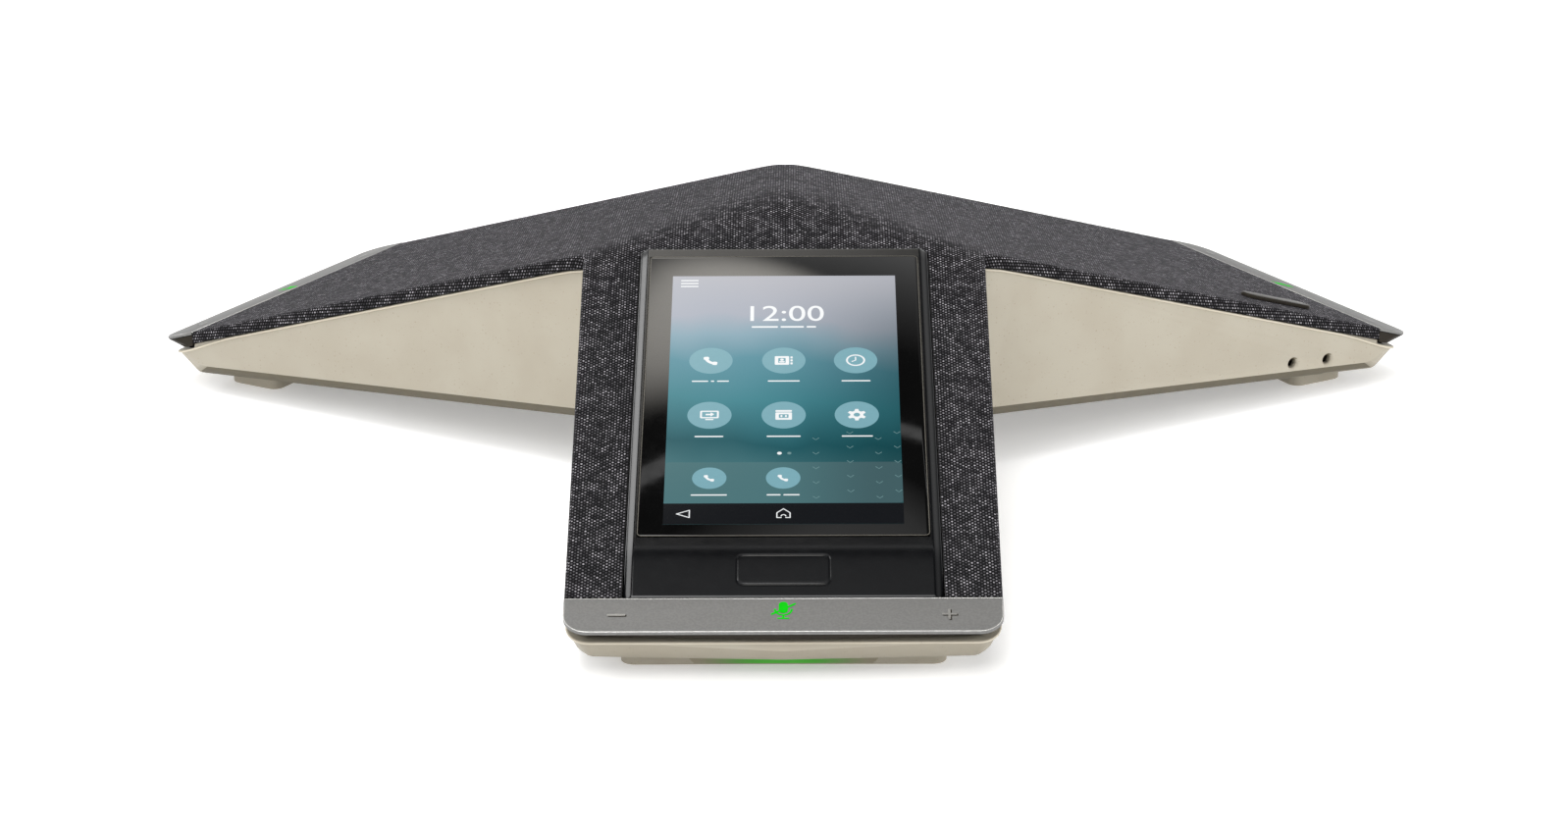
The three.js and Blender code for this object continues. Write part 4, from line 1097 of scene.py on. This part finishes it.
def make_strips(satin, rim_highlight, gloss, mark, green):
    for arm in HEADINGS:
        add_piece(f"strip_{arm}", plate_mesh(arm), satin, (f"strip_plate_{arm}",))
        add_piece(f"strip_rim_highlight_{arm}", rim_mesh(arm), rim_highlight)
        node = f"strip_carrier_{arm}"
        bm = node_bmesh(node)
        bevel_edges(bm, 0.3 * MM)
        add_piece(f"{node}_body", finish_mesh(bm, node), gloss, (node,))
        # The marks in lighter metal are a painted highlight, and their dark shifted copies a painted
        # shadow, of the engraving's edges.
        strip_mark(f"strip_keys_{arm}", arm, key_marks, mark)
        strip_mark(f"strip_key_shadows_{arm}", arm, key_mark_shadows, gloss)
        strip_mark(f"mute_mark_{arm}", arm, mute_mark, green, (f"mute_lens_{arm}",))


# ---------------- feet

FOOT_U = (156.8, 175.2)  # from and to along an arm
FOOT_HALF = 41.5
FOOT_CORNER = 3.2
FOOT_RISE = 18.2 - 0.3   # plane of a foot's upper face over the hub axis
FOOT_LEVELS = ((0.0, 0.45), (0.12, 0.2), (0.4, 0.0), (1.0, 0.0), (None, 0.0))  # height and inset
LIGHT = (48.0, 2.7, 2.45)  # length, height and depth of the light in a foot's outer face
LIGHT_OUT = 0.05         # how far it stands out
LIGHT_Z = 1.85
GLOW_HALF = 23           # half length over which its glow fades out


def foot_mesh(arm):
    """A rounded bar whose outer face stands upright and whose inner edge runs out into the shell."""
    length, middle = FOOT_U[1] - FOOT_U[0], sum(FOOT_U) / 2
    outline = rounded_rectangle(length, 2 * FOOT_HALF, FOOT_CORNER, 8)
    rings = []
    for z, inset in FOOT_LEVELS:
        along, across = 1 - 2 * inset / length, 1 - inset / FOOT_HALF
        plan = [(middle + x * along, y * across) for x, y in outline]
        rings.append([(u, v, FOOT_RISE - UNDER_SLOPE * u if z is None else z) for u, v in plan])
    bm = bmesh.new()
    cap_ends(bm, loft(bm, rings))
    return finish_mesh(bm, "foot", arm_matrix(arm), sharp=50)


def foot_light_mesh(arm):
    """A softly rounded bar that stands a hair proud of the foot's outer face."""
    bm = slab(rounded_rectangle(LIGHT[0], LIGHT[1], 1.2, 6), 0.0, LIGHT[2], 0.5, 3)
    back = FOOT_U[1] + LIGHT_OUT - LIGHT[2]
    stand = Matrix(((0, 0, 1, back), (1, 0, 0, 0), (0, 1, 0, LIGHT_Z), (0, 0, 0, 1)))
    return finish_mesh(bm, "foot_light", arm_matrix(arm) @ stand, sharp=50)


def make_feet(stone):
    for arm, heading in HEADINGS.items():
        add_piece(f"foot_body_{arm}", foot_mesh(arm), stone, (f"foot_{arm}",))
        turn = radians(heading)
        middle = arm_matrix(arm) @ Vector((FOOT_U[1], 0, 0))
        across = (-sin(turn), cos(turn), 0)
        glow = lit_foot(f"foot_glow_{arm}", (0.012, 0.5, 0.004), 0.5, middle, across, GLOW_HALF * MM)
        add_piece(f"foot_glow_{arm}", foot_light_mesh(arm), glow, (f"foot_light_{arm}",))


# ---------------- shell and the bead round its rim

SHELL_INSET = 0.9        # walls stand this far inside the fabric
SHELL_REACH = 187.0      # hub axis to the rim's outer end
TOP_DROP = 4.0           # rim below the roof along an arm, and round its tip
TIP_TOP_DROP = 5.3
LEAN_START = 0.4         # share of down in a face's normal where the painted shade begins
LEAN_SPAN = 0.28         # and how much more of it brings the full painted shade
NOSE_START = 174.0       # beyond it the faces that lean in belong to an arm's nose
NOSE_SHARE = 0.4         # how much of the painted shade they take
KEEL_START = 160.0       # beyond it the lower rim of an arm's tip is well rounded
KEEL_HEIGHT = 9.0
BEAD_RADIUS = 0.36
BEAD_OUT = 0.16          # how far the bead stands out of the wall
BEAD_BELOW = 0.4         # its middle below the shell's rim
BEAD_STEPS = 24          # along each side of an arm
STEP_START = STRIP_START - 12  # where the bead begins to fall to the tip's lower rim
STEP_LENGTH = 13.0


def make_shell(material):
    """The CAD shell with rounded edges. Its faces that lean down are marked for painted shade, a darker
    brown.
    """
    bm = node_bmesh("base_shell")
    hub = Vector((0, HUB_Y, 0)) * MM

    def on_keel(edge):
        return all(
            v.co.z < KEEL_HEIGHT * MM and (v.co - hub).to_2d().length > KEEL_START * MM
            for v in edge.verts
        )

    bevel_edges(bm, 1.5 * MM, 4, 24, on_keel)
    bevel_edges(bm, 0.6 * MM, 3)
    # Painted shade: how far each face leans down sets how much dark brown it takes.
    painted_shade = bm.faces.layers.float.new("painted_shade")
    bm.normal_update()
    for face in bm.faces:
        leaning = clamp((-face.normal.z - LEAN_START) / LEAN_SPAN)
        on_nose = (face.calc_center_median() - hub).to_2d().length > NOSE_START * MM
        face[painted_shade] = leaning * (NOSE_SHARE if on_nose else 1.0)
    mesh = finish_mesh(bm, "base_shell")
    add_piece("base_shell_body", mesh, material, ("base_shell",))


def bead_mesh(arm):
    """A fine round rib along the shell's rim, from notch to notch round the arm's tip. Its lighter
    plastic is a painted highlight of that edge.
    """
    inset = SHELL_INSET - BEAD_OUT
    start = half_width(0, inset) / (SQRT3 + TAPER) + 0.2
    straight = [start + (STRIP_START - 2 - start) * k / BEAD_STEPS for k in range(BEAD_STEPS + 1)]
    straight.append(STRIP_START + 1)
    tip = strip_outline(STRIP_START + 2, SHELL_REACH - 0.1, inset, CORNER - SHELL_INSET / 2)
    path = [(u, -half_width(u, inset)) for u in straight] + tip
    path += [(u, half_width(u, inset)) for u in reversed(straight)]
    points = []
    for u, v in path:
        step_down = (TIP_TOP_DROP - TOP_DROP) * clamp((u - STEP_START) / STEP_LENGTH)
        points.append((u, v, roof_height(v, -u) - TOP_DROP - BEAD_BELOW - step_down))
    bm = bmesh.new()
    tube(bm, points, BEAD_RADIUS)
    return finish_mesh(bm, "bead", arm_matrix(arm), sharp=60)


def make_beads(stone):
    for arm in HEADINGS:
        add_piece(f"shell_bead_{arm}", bead_mesh(arm), stone)


# ---------------- badge and floor

BADGE = (26.0, 5.4, 1.0)  # length along the arm, width and thickness
BADGE_PLACE = (147.0, -43.0)  # in the right arm's frame


def badge_mesh():
    bm = slab(rounded_rectangle(BADGE[0], BADGE[1], 2.65, 8), 0.0, BADGE[2], 0.45, 3)
    tilt = Matrix.Rotation(atan(ROOF_SLOPE), 4, "Y")
    place = Matrix.Translation((*BADGE_PLACE, roof_plane(BADGE_PLACE[0]) + 0.3))
    return finish_mesh(bm, "badge", arm_matrix("right") @ place @ tilt, sharp=40)


def make_floor():
    """Pale paper, lit a little from below, so that the shadows on it stay light."""
    lines = (-6.0, -1, 0, 1, 6.0)
    bm = bmesh.new()
    loft(bm, [[(x, y, 0) for x in lines] for y in lines], closed=False)
    mesh = plain_mesh(bm, "studio_floor")
    floor = bpy.data.objects.new("studio_floor", mesh)
    link(floor)
    s = Shader("studio_paper", Roughness=0.9, Specular_IOR_Level=0.1)
    s.set("Base Color", s.mix(s.noise(8.0, 2.0), rgb(0.9, 0.9, 0.9), rgb(0.92, 0.92, 0.92)))
    s.set("Emission Color", rgb(1, 1, 1))
    s.set("Emission Strength", 0.33)
    mesh.materials.append(s.material)


def give(material, *nodes):
    """Puts a finished material on CAD nodes that keep their own shape."""
    for node in nodes:
        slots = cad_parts[node].data.materials
        slots.clear()
        slots.append(material)


# ---------------- making

bpy.context.scene.view_settings.view_transform = "Standard"
make_camera()
make_lights()
make_world()

stone = stone_plastic("stone_plastic", 0.62)
dark = moulded("dark_grey_plastic", (0.002, 0.0022, 0.0027), 0.14, grain=0.008, Specular_IOR_Level=0.4)
black = moulded("black_plastic", (0.012, 0.012, 0.013), 0.5)
gloss = moulded("gloss_black", (0.02, 0.0165, 0.012), 0.35, grain=0.01, Specular_IOR_Level=0.08)
satin = metal("satin_metal", (0.172, 0.171, 0.166), 0.45, metallic=0.4)
# Painted highlight: metal far lighter than the satin plate, for the light caught by each plate's
# rounded edge.
rim_highlight = metal("rim_highlight_metal", (0.75, 0.74, 0.71), 0.25, metallic=0.6)
# Painted highlight: the engraved plus and minus marks in metal lighter than the plate, for the lit side
# of their edges.
key_mark = metal("key_mark", (0.42, 0.415, 0.4), 0.35)
glass = moulded("display_glass", (0.0006, 0.0006, 0.0006), 0.06, grain=0.0)
# Painted highlight: a light brownish colour for the line of light along the glass's edge.
glass_edge_highlight = moulded("glass_edge_highlight", (0.075, 0.068, 0.055), 0.4, Specular_IOR_Level=0.3)
green = lit("green_light", (0.006, 0.6, 0.008), 1.0)
steel = metal("tinned_steel", (0.62, 0.62, 0.6), 0.3)
aluminium = metal("aluminium", (0.7, 0.71, 0.72), 0.35)
copper = metal("copper_wire", (0.75, 0.34, 0.16), 0.3, grain=0.4, scale=4000.0)
board = moulded("circuit_board", (0.015, 0.10, 0.045), 0.4, grain=0.15)
ferrite = moulded("ferrite_magnet", (0.03, 0.03, 0.032), 0.6, grain=0.2)
paper = moulded("cone_paper", (0.035, 0.033, 0.03), 0.85, grain=0.5, scale=900.0)
rubber = moulded("black_rubber", (0.012, 0.012, 0.012), 0.6, grain=0.1)
amber = moulded("amber_film", (0.55, 0.22, 0.03), 0.35)

make_fabric(charcoal_fabric())
make_shell(stone)
make_display(dark, glass, glass_edge_highlight)
make_strips(satin, rim_highlight, gloss, key_mark, green)
# The feet take a lighter copy of the shell's plastic: painted light that lifts them out of the shade
# under the arms.
make_feet(stone_plastic("foot_stone_painted_light", 0.68))
# The beads take a much lighter copy of the shell's plastic: a painted highlight along the rim's top
# edge.
make_beads(stone_plastic("bead_stone_painted_highlight", 0.88))
add_piece("badge_bar", badge_mesh(), gloss, ("badge",))

give(black, "top_frame", "speaker_enclosure")
give(board, "main_board", "rear_board", "jack_board", "antenna_left", "antenna_right")
give(steel, "processor_shield", "ethernet_jack", "usb_a_port", "usb_c_port", "speaker_basket")
give(aluminium, "display_tray", "heat_spreader")
give(ferrite, "power_module", "speaker_magnet")
give(copper, "voice_coil")
give(paper, "speaker_cone")
give(rubber, "speaker_surround")
give(amber, "speaker_spider", "display_ribbon")
give(gloss, "mic_jack_1", "mic_jack_2")
for arm_name in HEADINGS:
    give(board, f"touch_board_{arm_name}")
    give(steel, f"microphone_{arm_name}", f"shell_screw_{arm_name}_1", f"shell_screw_{arm_name}_2")
make_floor()
